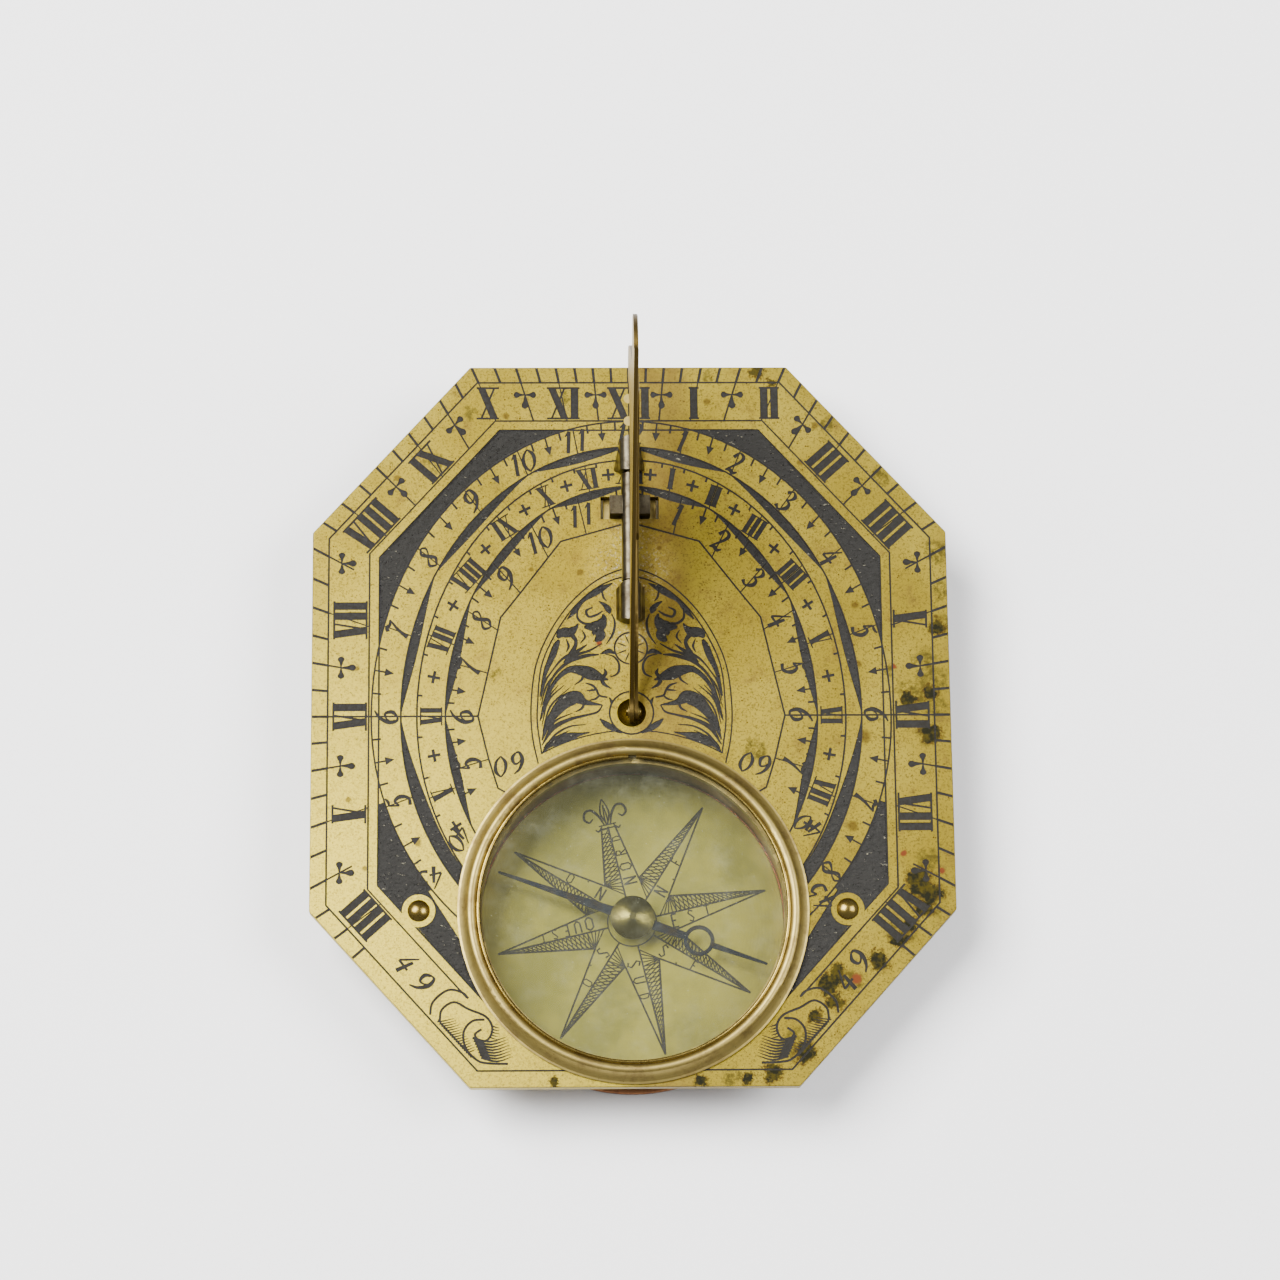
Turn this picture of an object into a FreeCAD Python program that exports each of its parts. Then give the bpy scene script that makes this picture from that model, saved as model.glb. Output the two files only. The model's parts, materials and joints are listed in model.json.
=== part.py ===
import FreeCAD, Part
import math
import os

from FreeCAD import Vector

# A folding horizontal pocket sundial of the octagonal Paris type, in brass.
# Millimetres. The origin is the centre of the compass box's flat underside,
# +Y is the dial's north, +X its east and +Z is up from the dial plate.

# ---------------------------------------------------------------- dial plate
PLATE_HALF_WIDTH = 32.0
PLATE_HALF_LENGTH = 37.1
CORNER_ALONG_X = 15.85
CORNER_ALONG_Y = 17.6
PLATE_THICKNESS = 1.2
PLATE_TOP = 8.0
PLATE_UNDER = PLATE_TOP - PLATE_THICKNESS
PLATE_CENTRE_Y = 19.46
CORNER_ROUND = 0.35

# The hour lines, the gnomon's edge and the fold all start from this centre.
DIAL_Y = 19.8
LATITUDE = 49.0

# ------------------------------------------------------- compass box, glazed
BOX_RADIUS = 16.55
BOX_WALL = 1.2
FLOOR_RADIUS = 17.16
FLOOR_THICKNESS = 1.6
FLANGE_RADIUS = 17.3
FLANGE_THICKNESS = 0.8
EAR_PIN_X = 21.2
EAR_END_RADIUS = 1.9
PIN_RADIUS = 0.65
PIN_DOME_RADIUS = 1.1
PIN_DOME_HEIGHT = 0.55

CARD_RADIUS = 15.2
CARD_THICKNESS = 0.4
CARD_TOP = FLOOR_THICKNESS + CARD_THICKNESS

COLLAR_RADIUS = 16.15
PLATE_HOLE_RADIUS = 16.2
BEZEL_RADIUS = 17.4
BEZEL_CREST_RADIUS = 16.05
BEZEL_HEIGHT = 1.2
GLASS_RADIUS = 15.5
GLASS_THICKNESS = 0.8
GLASS_UNDER = PLATE_TOP - 0.1
GLASS_TOP = GLASS_UNDER + GLASS_THICKNESS
SEAT_RADIUS = 14.95
REBATE_RADIUS = 15.55
GLASS_RING_WIRE = 0.2

# ------------------------------------------------------------ compass needle
NEEDLE_LENGTH = 28.4
NEEDLE_HEIGHT = 2.0
NEEDLE_THICKNESS = 0.22
NEEDLE_BEARING = 70.5
NEEDLE_HUB_RADIUS = 1.45
RING_FROM_CENTRE = 7.0
RING_OUTER_RADIUS = 1.55
RING_INNER_RADIUS = 1.15
CAP_RADIUS = 2.2
CAP_HEIGHT = 1.3
CAP_WALL = 0.35
CAP_SPIGOT_RADIUS = 1.15
CAP_HOLLOW_RADIUS = 0.7
PIVOT_ROOT_RADIUS = 0.55
PIVOT_NECK_RADIUS = 0.28
PIVOT_TIP_RADIUS = 0.04
PIVOT_ROOT_Z = 0.6
NEEDLE_Z = CARD_TOP + NEEDLE_HEIGHT
PIVOT_POINT_Z = NEEDLE_Z + CAP_HEIGHT - CAP_WALL - 0.12

# ----------------------------------------------------------- gnomon and fold
FOLD_AXIS_HEIGHT = 0.9
FOLD_Z = PLATE_TOP + FOLD_AXIS_HEIGHT
HINGE_PIN_RADIUS = 0.45
HINGE_CLEARANCE = 0.05
KNUCKLE_HALF_WIDTH = 1.6
KNUCKLE_BARREL = 1.2
KNUCKLE_WAIST = 1.08
KNUCKLE_END_BOW = 0.5
NORTH_KNUCKLE = (25.2, 28.85)
SOUTH_KNUCKLE = (9.5, 13.6)
TENON_RADIUS = 0.8

BAR_RADIUS = 0.85
BAR_GAP = 0.2
CAM_HALF_WIDTH = 2.05
CAM_CORNER_REACH = 2.45
CAM_LENGTH = 1.95
SLOT_HALF_WIDTH = 2.95
SLOT = (20.55, 22.9)

SPRING_THICKNESS = 0.35
SPRING_TIP_HALF_WIDTH = 2.7
SPRING_ROOT_HALF_WIDTH = 1.6
SPRING_SPAN = (20.2, 34.8)
SPRING_RIVETS_Y = (31.0, 33.4)
SPRING_RIVET_RADIUS = 0.5

STYLE_THICKNESS = 0.44
STYLE_LENGTH = 41.8
STYLE_PIVOT = (0.3, 0.35)
STYLE_BOSS_RADIUS = 1.15
FOOT_BOSS_RADIUS = 0.85
SCALE_RADIUS = 36.55
RIVET_RADIUS = 0.3
RIVET_HEAD_RADIUS = 0.42
RIVET_HEAD_HEIGHT = 0.22
WASHER_RADIUS = 0.62
WASHER_THICKNESS = 0.1
RUNNING_GAP = 0.03

FOOT_THICKNESS = 0.38
FOOT_GAP = 0.04
FOOT_FACE_X = STYLE_THICKNESS / 2 + FOOT_GAP
FOOT_SEAT = 0.5

DIMPLE_RADIUS = 1.45
DIMPLE_DEPTH = 0.95


# ------------------------------------------------------------------- helpers
def outline(start, steps):
    """Closed face in the XY plane: a step is (end) or (through, end) for an arc."""
    edges = []
    here = Vector(start[0], start[1], 0)
    for step in steps:
        end = Vector(step[-1][0], step[-1][1], 0)
        if len(step) == 2:
            through = Vector(step[0][0], step[0][1], 0)
            edges.append(Part.Arc(here, through, end).toShape())
        else:
            edges.append(Part.LineSegment(here, end).toShape())
        here = end
    return Part.Face(Part.Wire(edges))


def upright(face):
    """Stand an XY outline in the XZ plane, its Y up."""
    return face.rotated(Vector(), Vector(1, 0, 0), 90)


def facing_east(face):
    """Stand an XY outline in the YZ plane: its X runs north and its Y runs up."""
    return face.rotated(Vector(), Vector(1, 1, 1), 120)


def turned(start, steps):
    """Solid of revolution about Z from an outline of (radius, height) steps."""
    profile = upright(outline(start, steps))
    return profile.revolve(Vector(), Vector(0, 0, 1), 360)


def disc(radius, z_low, z_high, x=0.0, y=0.0):
    return Part.makeCylinder(radius, z_high - z_low, Vector(x, y, z_low))


def rod_north(radius, y_low, y_high, z=FOLD_Z):
    return Part.makeCylinder(radius, y_high - y_low, Vector(0, y_low, z), Vector(0, 1, 0))


def rod_east(radius, x_low, x_high, y, z):
    return Part.makeCylinder(radius, x_high - x_low, Vector(x_low, y, z), Vector(1, 0, 0))


def block(x_span, y_span, z_span):
    size = [span[1] - span[0] for span in (x_span, y_span, z_span)]
    return Part.makeBox(*size, Vector(x_span[0], y_span[0], z_span[0]))


def dome(radius, height, z, x=0.0, y=0.0):
    """Shallow spherical cap standing on the level z."""
    ball = (radius ** 2 + height ** 2) / (2 * height)
    sphere = Part.makeSphere(ball, Vector(x, y, z + height - ball))
    return sphere.common(disc(radius * 1.01, z, z + height + 1, x, y))


def dial(span):
    """A span measured from the dial centre, in the part's own Y."""
    return [DIAL_Y + value for value in span]


def line_edge(start, end):
    return Part.LineSegment(Vector(*start, 0), Vector(*end, 0)).toShape()


def arc_edge(start, through, end):
    points = [Vector(x, y, 0) for x, y in (start, through, end)]
    return Part.Arc(*points).toShape()


def smooth(points):
    """One spline edge through points of the XY plane."""
    curve = Part.BSplineCurve()
    curve.interpolate([Vector(x, y, 0) for x, y in points])
    return curve.toShape()


# ---------------------------------------------------------------- dial plate
def octagon():
    """The eight corners of the plate, counter-clockwise from the south edge."""
    half_end = PLATE_HALF_WIDTH - CORNER_ALONG_X
    half_side = PLATE_HALF_LENGTH - CORNER_ALONG_Y
    quarter = [(half_end, PLATE_HALF_LENGTH), (PLATE_HALF_WIDTH, half_side)]
    corners = []
    for sign_x, sign_y, order in ((1, -1, 1), (1, 1, -1), (-1, 1, 1), (-1, -1, -1)):
        for x, y in quarter[::order]:
            corners.append(Vector(sign_x * x, PLATE_CENTRE_Y + sign_y * y, PLATE_UNDER))
    return corners


def dial_plate():
    corners = octagon()
    plate = Part.Face(Part.makePolygon(corners + corners[:1])).extrude(Vector(0, 0, PLATE_THICKNESS))
    upright_edges = [edge for edge in plate.Edges if abs(edge.tangentAt(edge.FirstParameter).z) > 0.9]
    plate = plate.makeFillet(CORNER_ROUND, upright_edges)
    below = PLATE_UNDER - 1
    above = PLATE_TOP + 1
    plate = plate.cut(disc(PLATE_HOLE_RADIUS, below, above))
    plate = plate.cut(block((-SLOT_HALF_WIDTH, SLOT_HALF_WIDTH), dial(SLOT), (below, above)))
    for side in (-1, 1):
        plate = plate.cut(disc(PIN_RADIUS, below, above, side * EAR_PIN_X))
    for span in (NORTH_KNUCKLE, SOUTH_KNUCKLE):
        plate = plate.cut(disc(TENON_RADIUS, below, above, 0, DIAL_Y + sum(span) / 2))
    for y in SPRING_RIVETS_Y:
        plate = plate.cut(disc(SPRING_RIVET_RADIUS, below, above, 0, DIAL_Y + y))
    ball = (DIMPLE_RADIUS ** 2 + DIMPLE_DEPTH ** 2) / (2 * DIMPLE_DEPTH)
    centre = Vector(0, DIAL_Y + STYLE_PIVOT[0], PLATE_TOP + ball - DIMPLE_DEPTH)
    return plate.cut(Part.makeSphere(ball, centre))


# --------------------------------------------------------------- compass box
def box_floor():
    """Base plate of the box with a moulded rim: a half-round bead under a small cove."""
    bead = 0.45
    step = 0.2
    rim_top = 2 * bead + step
    cove = FLOOR_RADIUS - 0.5
    return turned(
        (0, 0),
        [
            [(FLOOR_RADIUS - bead, 0)],
            [(FLOOR_RADIUS, bead), (FLOOR_RADIUS - bead, 2 * bead)],
            [(cove, 2 * bead)],
            [(cove, rim_top)],
            [(BOX_RADIUS - BOX_WALL, rim_top)],
            [(BOX_RADIUS - BOX_WALL, FLOOR_THICKNESS)],
            [(0, FLOOR_THICKNESS)],
            [(0, 0)],
        ],
    ).cut(disc(PIVOT_ROOT_RADIUS, PIVOT_ROOT_Z, FLOOR_THICKNESS + 1))


def box_wall():
    foot = 1.1
    return disc(BOX_RADIUS, foot, PLATE_UNDER).cut(disc(BOX_RADIUS - BOX_WALL, 0, PLATE_TOP))


def box_flange():
    """Flat ring soldered round the wall, with an ear for each pin."""
    low = PLATE_UNDER - FLANGE_THICKNESS
    flange = disc(FLANGE_RADIUS, low, PLATE_UNDER)
    for side in (-1, 1):
        end = side * EAR_PIN_X
        ear = disc(EAR_END_RADIUS, low, PLATE_UNDER, end)
        reach = sorted((0, end))
        web = block(reach, (-EAR_END_RADIUS, EAR_END_RADIUS), (low, PLATE_UNDER))
        flange = flange.fuse(ear).fuse(web)
    flange = flange.removeSplitter().cut(disc(BOX_RADIUS, low - 1, PLATE_TOP))
    for side in (-1, 1):
        flange = flange.cut(disc(PIN_RADIUS, low - 1, PLATE_TOP, side * EAR_PIN_X))
    return flange


def box_pins():
    """Two domed rivets that hold the ears, peened underneath."""
    under = PLATE_UNDER - FLANGE_THICKNESS
    pins = []
    for side in (-1, 1):
        x = side * EAR_PIN_X
        shank = disc(PIN_RADIUS, under, PLATE_TOP, x)
        head = dome(PIN_DOME_RADIUS, PIN_DOME_HEIGHT, PLATE_TOP, x)
        peen = disc(PIN_RADIUS * 1.5, under - 0.35, under, x)
        pins.append(shank.fuse(head).fuse(peen).removeSplitter())
    return Part.makeCompound(pins)


def compass_card():
    card = disc(CARD_RADIUS, FLOOR_THICKNESS, CARD_TOP)
    return card.cut(disc(PIVOT_ROOT_RADIUS, 0, CARD_TOP + 1))


def bezel_ring():
    """Turned ring: collar through the plate, glass seat, and a rounded crest outside."""
    seat = GLASS_UNDER
    collar_end = PLATE_UNDER + 0.1
    crest = PLATE_TOP + BEZEL_HEIGHT
    foot_height = 0.24
    hollow = (BEZEL_CREST_RADIUS + 0.7, PLATE_TOP + 0.62)
    outer_shoulder = (BEZEL_CREST_RADIUS + 0.37, crest - 0.16)
    inner_shoulder = (BEZEL_CREST_RADIUS - 0.33, crest - 0.14)
    return turned(
        (SEAT_RADIUS, collar_end),
        [
            [(COLLAR_RADIUS, collar_end)],
            [(COLLAR_RADIUS, PLATE_TOP)],
            [(BEZEL_RADIUS, PLATE_TOP)],
            [(BEZEL_RADIUS, PLATE_TOP + foot_height)],
            [(BEZEL_RADIUS - 0.2, PLATE_TOP + foot_height + 0.06)],
            [hollow, outer_shoulder],
            [(BEZEL_CREST_RADIUS, crest), inner_shoulder],
            [(REBATE_RADIUS, crest - 0.32)],
            [(REBATE_RADIUS, seat)],
            [(SEAT_RADIUS, seat)],
            [(SEAT_RADIUS, collar_end)],
        ],
    )


def compass_glass():
    return disc(GLASS_RADIUS, GLASS_UNDER, GLASS_TOP)


def glass_ring():
    """Sprung wire ring, split at the north, that holds the glass down in its rebate."""
    middle = REBATE_RADIUS - GLASS_RING_WIRE
    centre = Vector(0, 0, GLASS_TOP + GLASS_RING_WIRE)
    half_split = 1.5
    circle = Part.makeCircle(middle, centre, Vector(0, 0, 1), 90 + half_split, 450 - half_split)
    start = circle.valueAt(circle.FirstParameter)
    along = circle.tangentAt(circle.FirstParameter)
    section = Part.Wire([Part.makeCircle(GLASS_RING_WIRE, start, along)])
    return Part.Wire([circle]).makePipeShell([section], True, True)


# ------------------------------------------------------------ compass needle
def needle_pivot():
    """Steel point pressed into the floor of the box."""
    shoulder = CARD_TOP + 1.0
    return turned(
        (0, PIVOT_ROOT_Z),
        [
            [(PIVOT_ROOT_RADIUS, PIVOT_ROOT_Z)],
            [(PIVOT_ROOT_RADIUS, shoulder)],
            [(PIVOT_NECK_RADIUS, shoulder + 0.35)],
            [(PIVOT_TIP_RADIUS, PIVOT_POINT_Z)],
            [(0, PIVOT_POINT_Z)],
            [(0, PIVOT_ROOT_Z)],
        ],
    )


def needle_arm(side):
    """Tapered arm from the hub to a rounded tip, along +X or -X."""
    root = side * 0.8
    root_half_width = 0.52
    tip_half_width = 0.12
    tip = side * (NEEDLE_LENGTH / 2 - tip_half_width)
    arm = outline(
        (root, -root_half_width),
        [
            [(tip, -tip_half_width)],
            [(side * NEEDLE_LENGTH / 2, 0), (tip, tip_half_width)],
            [(root, root_half_width)],
            [(root, -root_half_width)],
        ],
    )
    return arm.extrude(Vector(0, 0, NEEDLE_THICKNESS))


def compass_needle():
    """Flat steel needle: a plain north arm, and a south arm with an open ring."""
    hub = disc(NEEDLE_HUB_RADIUS, 0, NEEDLE_THICKNESS)
    ring = disc(RING_OUTER_RADIUS, 0, NEEDLE_THICKNESS, RING_FROM_CENTRE)
    needle = hub.fuse([needle_arm(-1), needle_arm(1), ring])
    needle = needle.cut(disc(RING_INNER_RADIUS, -1, 1, RING_FROM_CENTRE)).removeSplitter()
    needle = needle.cut(disc(CAP_SPIGOT_RADIUS, -1, 1))
    needle.rotate(Vector(), Vector(0, 0, 1), NEEDLE_BEARING - 90)
    needle.translate(Vector(0, 0, NEEDLE_Z))
    return needle


def needle_cap():
    """Conical brass cap, hollow underneath, on a spigot through the needle's hub."""
    low = NEEDLE_Z - 0.1
    top = NEEDLE_Z + NEEDLE_THICKNESS
    crown = NEEDLE_Z + CAP_HEIGHT
    brim = 0.22
    crown_radius = 0.35
    cone_middle = (CAP_SPIGOT_RADIUS, crown - 0.3)
    return turned(
        (CAP_HOLLOW_RADIUS, low),
        [
            [(CAP_SPIGOT_RADIUS, low)],
            [(CAP_SPIGOT_RADIUS, top)],
            [(CAP_RADIUS, top)],
            [(CAP_RADIUS, top + brim)],
            [cone_middle, (crown_radius, crown)],
            [(0, crown)],
            [(0, crown - CAP_WALL)],
            [(CAP_HOLLOW_RADIUS, low)],
        ],
    )


# --------------------------------------------------------------------- hinge
def knuckle(span, north_half_width, south_half_width):
    """Barrel on a tapered foot, with a tenon riveted flush through the plate."""
    south, north = dial(span)
    foot = KNUCKLE_HALF_WIDTH
    waist = KNUCKLE_WAIST
    section = outline(
        (-foot, PLATE_TOP),
        [
            [(foot, PLATE_TOP)],
            [(waist, FOLD_Z)],
            [(0, FOLD_Z + KNUCKLE_BARREL), (-waist, FOLD_Z)],
            [(-foot, PLATE_TOP)],
        ],
    )
    body = upright(section).extrude(Vector(0, south - north, 0))
    body.translate(Vector(0, north, 0))
    bow = KNUCKLE_END_BOW
    plan = outline(
        (-south_half_width, south + bow),
        [
            [(0, south), (south_half_width, south + bow)],
            [(north_half_width, north - bow)],
            [(0, north), (-north_half_width, north - bow)],
            [(-south_half_width, south + bow)],
        ],
    )
    plan.translate(Vector(0, 0, PLATE_TOP))
    body = body.common(plan.extrude(Vector(0, 0, FOLD_AXIS_HEIGHT + 2 * KNUCKLE_BARREL)))
    tenon = disc(TENON_RADIUS, PLATE_UNDER, PLATE_TOP, 0, (south + north) / 2)
    return body.fuse(tenon).removeSplitter().cut(hinge_pin())


def hinge_pin():
    """Steel pin through the bar, its ends driven into blind holes in the knuckles."""
    buried = 0.8
    return rod_north(HINGE_PIN_RADIUS, *dial((SOUTH_KNUCKLE[0] + buried, NORTH_KNUCKLE[1] - buried)))


def fold_bar():
    """Turned bar between the knuckles, with the square cam that the spring bears on."""
    south, north = dial((SOUTH_KNUCKLE[1] + BAR_GAP, NORTH_KNUCKLE[0] - BAR_GAP))
    bar = rod_north(BAR_RADIUS, south, north)
    slot_middle = DIAL_Y + sum(SLOT) / 2
    cam_span = (slot_middle - CAM_LENGTH / 2, slot_middle + CAM_LENGTH / 2)
    cam = block(
        (-CAM_HALF_WIDTH, CAM_HALF_WIDTH),
        cam_span,
        (FOLD_Z - CAM_HALF_WIDTH, FOLD_Z + BAR_RADIUS / 2),
    )
    cam = cam.common(rod_north(CAM_CORNER_REACH, *cam_span))
    bar = bar.fuse(cam).removeSplitter()
    bar = bar.cut(rod_north(HINGE_PIN_RADIUS + HINGE_CLEARANCE, south - 1, north + 1))
    foot = (FOOT_FACE_X, FOOT_FACE_X + FOOT_THICKNESS)
    return bar.cut(block(foot, (south - 1, north + 1), (FOLD_Z + FOOT_SEAT, FOLD_Z + 3)))


def fold_spring():
    """Leaf spring under the plate: its free end presses on the cam through the slot."""
    tip, root = dial(SPRING_SPAN)
    shoulder = tip + 4.0
    leaf = outline(
        (-SPRING_TIP_HALF_WIDTH, tip),
        [
            [(SPRING_TIP_HALF_WIDTH, tip)],
            [(SPRING_TIP_HALF_WIDTH, shoulder)],
            [(SPRING_ROOT_HALF_WIDTH, root - SPRING_ROOT_HALF_WIDTH)],
            [(0, root), (-SPRING_ROOT_HALF_WIDTH, root - SPRING_ROOT_HALF_WIDTH)],
            [(-SPRING_TIP_HALF_WIDTH, shoulder)],
            [(-SPRING_TIP_HALF_WIDTH, tip)],
        ],
    )
    leaf.translate(Vector(0, 0, PLATE_UNDER - SPRING_THICKNESS))
    leaf = leaf.extrude(Vector(0, 0, SPRING_THICKNESS))
    for y in SPRING_RIVETS_Y:
        leaf = leaf.cut(disc(SPRING_RIVET_RADIUS, 0, PLATE_TOP, 0, DIAL_Y + y))
    return leaf


def spring_rivets():
    """Two rivets, flush in the dial's face and headed under the leaf."""
    under = PLATE_UNDER - SPRING_THICKNESS
    rivets = []
    for y in SPRING_RIVETS_Y:
        centre = DIAL_Y + y
        shank = disc(SPRING_RIVET_RADIUS, under, PLATE_TOP, 0, centre)
        head = disc(SPRING_RIVET_RADIUS * 1.7, under - 0.3, under, 0, centre)
        rivets.append(shank.fuse(head).removeSplitter())
    return Part.makeCompound(rivets)


# -------------------------------------------------------------------- gnomon
def place_in_dial(face, x_low, thickness):
    """Stand an outline drawn as (north of the dial centre, height over the plate)."""
    solid = facing_east(face).extrude(Vector(thickness, 0, 0))
    solid.translate(Vector(x_low, DIAL_Y, PLATE_TOP))
    return solid


def on_arc(radius, degrees):
    """Point at a distance from the pivot, at an angle below the style's edge."""
    angle = math.radians(degrees)
    return (radius * math.cos(angle), radius * math.sin(angle))


def style_outline():
    """The style in its own plane: X along its edge, Y down from the edge."""
    lobe_foot = (35.6, 8.3)
    scale_start = math.degrees(math.atan2(lobe_foot[1], lobe_foot[0]))
    scale_end = 34.5
    scale_low = on_arc(SCALE_RADIUS, scale_end)
    heel = on_arc(SCALE_RADIUS - 3.4, scale_end + 0.6)
    underside = [heel, (27.6, 14.2), (23.6, 9.6), (17.5, 6.2), (10.5, 3.4), (4.6, 1.75), (0.95, 0.65)]
    edges = [
        Part.LineSegment(Vector(1.9, 0, 0), Vector(STYLE_LENGTH, 0, 0)).toShape(),
        arc_edge((STYLE_LENGTH, 0), (41.25, 0.75), (41.6, 1.6)),
        arc_edge((41.6, 1.6), (42.5, 4.6), (40.6, 7.7)),
        arc_edge((40.6, 7.7), (38.0, 7.4), lobe_foot),
        arc_edge(lobe_foot, on_arc(SCALE_RADIUS, (scale_start + scale_end) / 2), scale_low),
        arc_edge(scale_low, on_arc(SCALE_RADIUS - 1.7, scale_end + 2.2), heel),
        smooth(underside),
        arc_edge(underside[-1], (-STYLE_BOSS_RADIUS, 0), (0.6, -0.98)),
        arc_edge((0.6, -0.98), (1.05, -0.35), (1.9, 0)),
    ]
    return Part.Face(Part.Wire(edges))


def style_plate():
    """Gnomon blade: its top edge casts the shadow, its north limb carries the scale."""
    face = style_outline()
    face.rotate(Vector(), Vector(1, 0, 0), 180)
    face.rotate(Vector(), Vector(0, 0, 1), LATITUDE)
    face.translate(Vector(STYLE_PIVOT[0], STYLE_PIVOT[1], 0))
    style = place_in_dial(face, -STYLE_THICKNESS / 2, STYLE_THICKNESS)
    hole = rod_east(RIVET_RADIUS + RUNNING_GAP, -1, 1, DIAL_Y + STYLE_PIVOT[0], PLATE_TOP + STYLE_PIVOT[1])
    return style.cut(hole)


def foot_arm():
    """Arm of the foot: from the pivot up over the south knuckle and along the bar."""
    pivot_y, pivot_z = STYLE_PIVOT
    seat = FOLD_AXIS_HEIGHT + FOOT_SEAT
    bar_south = SOUTH_KNUCKLE[1] + BAR_GAP
    bar_north = NORTH_KNUCKLE[0] - BAR_GAP
    boss = FOOT_BOSS_RADIUS
    over = [(pivot_y, pivot_z + boss), (3.4, 2.75), (6.8, 4.6), (10.6, 5.0), (14.6, 4.6), (18.5, 5.2)]
    under = [(bar_south, seat + 1.3), (11.2, 2.9), (8.2, 2.75), (5.0, 1.55), (pivot_y + boss, pivot_z)]
    edges = [
        smooth(over),
        arc_edge(over[-1], (22.4, 4.1), (bar_north, 2.6)),
        line_edge((bar_north, 2.6), (bar_north, seat)),
        line_edge((bar_north, seat), (bar_south, seat)),
        line_edge((bar_south, seat), under[0]),
        smooth(under),
        arc_edge(under[-1], (pivot_y - boss * math.sqrt(0.5), pivot_z - boss * math.sqrt(0.5)), over[0]),
    ]
    return Part.Face(Part.Wire(edges))


def bird_outline():
    """A small perched bird, its beak on the latitude scale."""
    beak = (30.6, 16.4)
    brow = (28.7, 17.2)
    throat = (28.9, 15.6)
    back = [brow, (27.4, 17.8), (26.0, 17.0), (24.4, 14.9), (21.6, 13.0), (18.5, 12.1), (15.6, 11.4)]
    belly = [(15.2, 10.5), (18.4, 10.3), (20.6, 9.2), (21.2, 7.4), (21.0, 4.0)]
    breast = [(22.8, 4.0), (22.9, 6.8), (24.6, 8.9), (27.0, 11.2), (28.4, 13.5), throat]
    edges = [
        smooth(back),
        line_edge(back[-1], belly[0]),
        smooth(belly),
        line_edge(belly[-1], breast[0]),
        smooth(breast),
        line_edge(throat, beak),
        line_edge(beak, brow),
    ]
    return Part.Face(Part.Wire(edges))


def foot_plate():
    """Foot of the gnomon, one sheet: arm, seat on the bar and the index bird."""
    foot = place_in_dial(foot_arm(), FOOT_FACE_X, FOOT_THICKNESS)
    bird = place_in_dial(bird_outline(), FOOT_FACE_X, FOOT_THICKNESS)
    foot = foot.fuse(bird).removeSplitter()
    y = DIAL_Y + STYLE_PIVOT[0]
    z = PLATE_TOP + STYLE_PIVOT[1]
    return foot.cut(rod_east(RIVET_RADIUS, 0, 2, y, z))


def washer_faces():
    """Where the two washers start, on the style's west face and the foot's east face."""
    west = -STYLE_THICKNESS / 2 - RUNNING_GAP - WASHER_THICKNESS
    east = FOOT_FACE_X + FOOT_THICKNESS
    return (west, east)


def style_rivet():
    """Rivet through the style, the foot and a washer on each side."""
    y = DIAL_Y + STYLE_PIVOT[0]
    z = PLATE_TOP + STYLE_PIVOT[1]
    west, east = washer_faces()
    shank_end = east + WASHER_THICKNESS
    shank = rod_east(RIVET_RADIUS, west, shank_end, y, z)
    west_head = rivet_head(west, -1, y, z)
    east_head = rivet_head(shank_end, 1, y, z)
    return shank.fuse([west_head, east_head]).removeSplitter()


def rivet_head(face_x, side, y, z):
    """Head that stands out from a face, its outer rim rounded."""
    outer_x = face_x + side * RIVET_HEAD_HEIGHT
    head = rod_east(RIVET_HEAD_RADIUS, min(face_x, outer_x), max(face_x, outer_x), y, z)
    rims = [edge for edge in head.Edges if abs(edge.CenterOfMass.x - outer_x) < 1e-6]
    return head.makeFillet(RIVET_HEAD_HEIGHT * 0.7, rims)


def style_washers():
    y = DIAL_Y + STYLE_PIVOT[0]
    z = PLATE_TOP + STYLE_PIVOT[1]
    washers = []
    for start in washer_faces():
        washer = rod_east(WASHER_RADIUS, start, start + WASHER_THICKNESS, y, z)
        washers.append(washer.cut(rod_east(RIVET_RADIUS, start - 1, start + 1, y, z)))
    return Part.makeCompound(washers)


# -------------------------------------------------------------------- export
SUBPARTS = {
    "dial_plate": dial_plate,
    "box_floor": box_floor,
    "box_wall": box_wall,
    "box_flange": box_flange,
    "box_pins": box_pins,
    "compass_card": compass_card,
    "bezel_ring": bezel_ring,
    "compass_glass": compass_glass,
    "glass_ring": glass_ring,
    "needle_pivot": needle_pivot,
    "compass_needle": compass_needle,
    "needle_cap": needle_cap,
    "knuckle_north": lambda: knuckle(NORTH_KNUCKLE, 1.0, KNUCKLE_HALF_WIDTH),
    "knuckle_south": lambda: knuckle(SOUTH_KNUCKLE, 1.45, 1.45),
    "hinge_pin": hinge_pin,
    "fold_bar": fold_bar,
    "fold_spring": fold_spring,
    "spring_rivets": spring_rivets,
    "foot_plate": foot_plate,
    "style_plate": style_plate,
    "style_rivet": style_rivet,
    "style_washers": style_washers,
}

os.makedirs("parts", exist_ok=True)
for node, make in SUBPARTS.items():
    shape = make()
    shape.exportStep("parts/" + node + ".step")
    print(node, "valid" if shape.isValid() else "INVALID", len(shape.Solids), round(shape.Volume, 2))
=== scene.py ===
import json
import math
import random

import bmesh
import bpy
import numpy as np
from mathutils import Matrix, Vector
from mathutils.geometry import delaunay_2d_cdt

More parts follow.
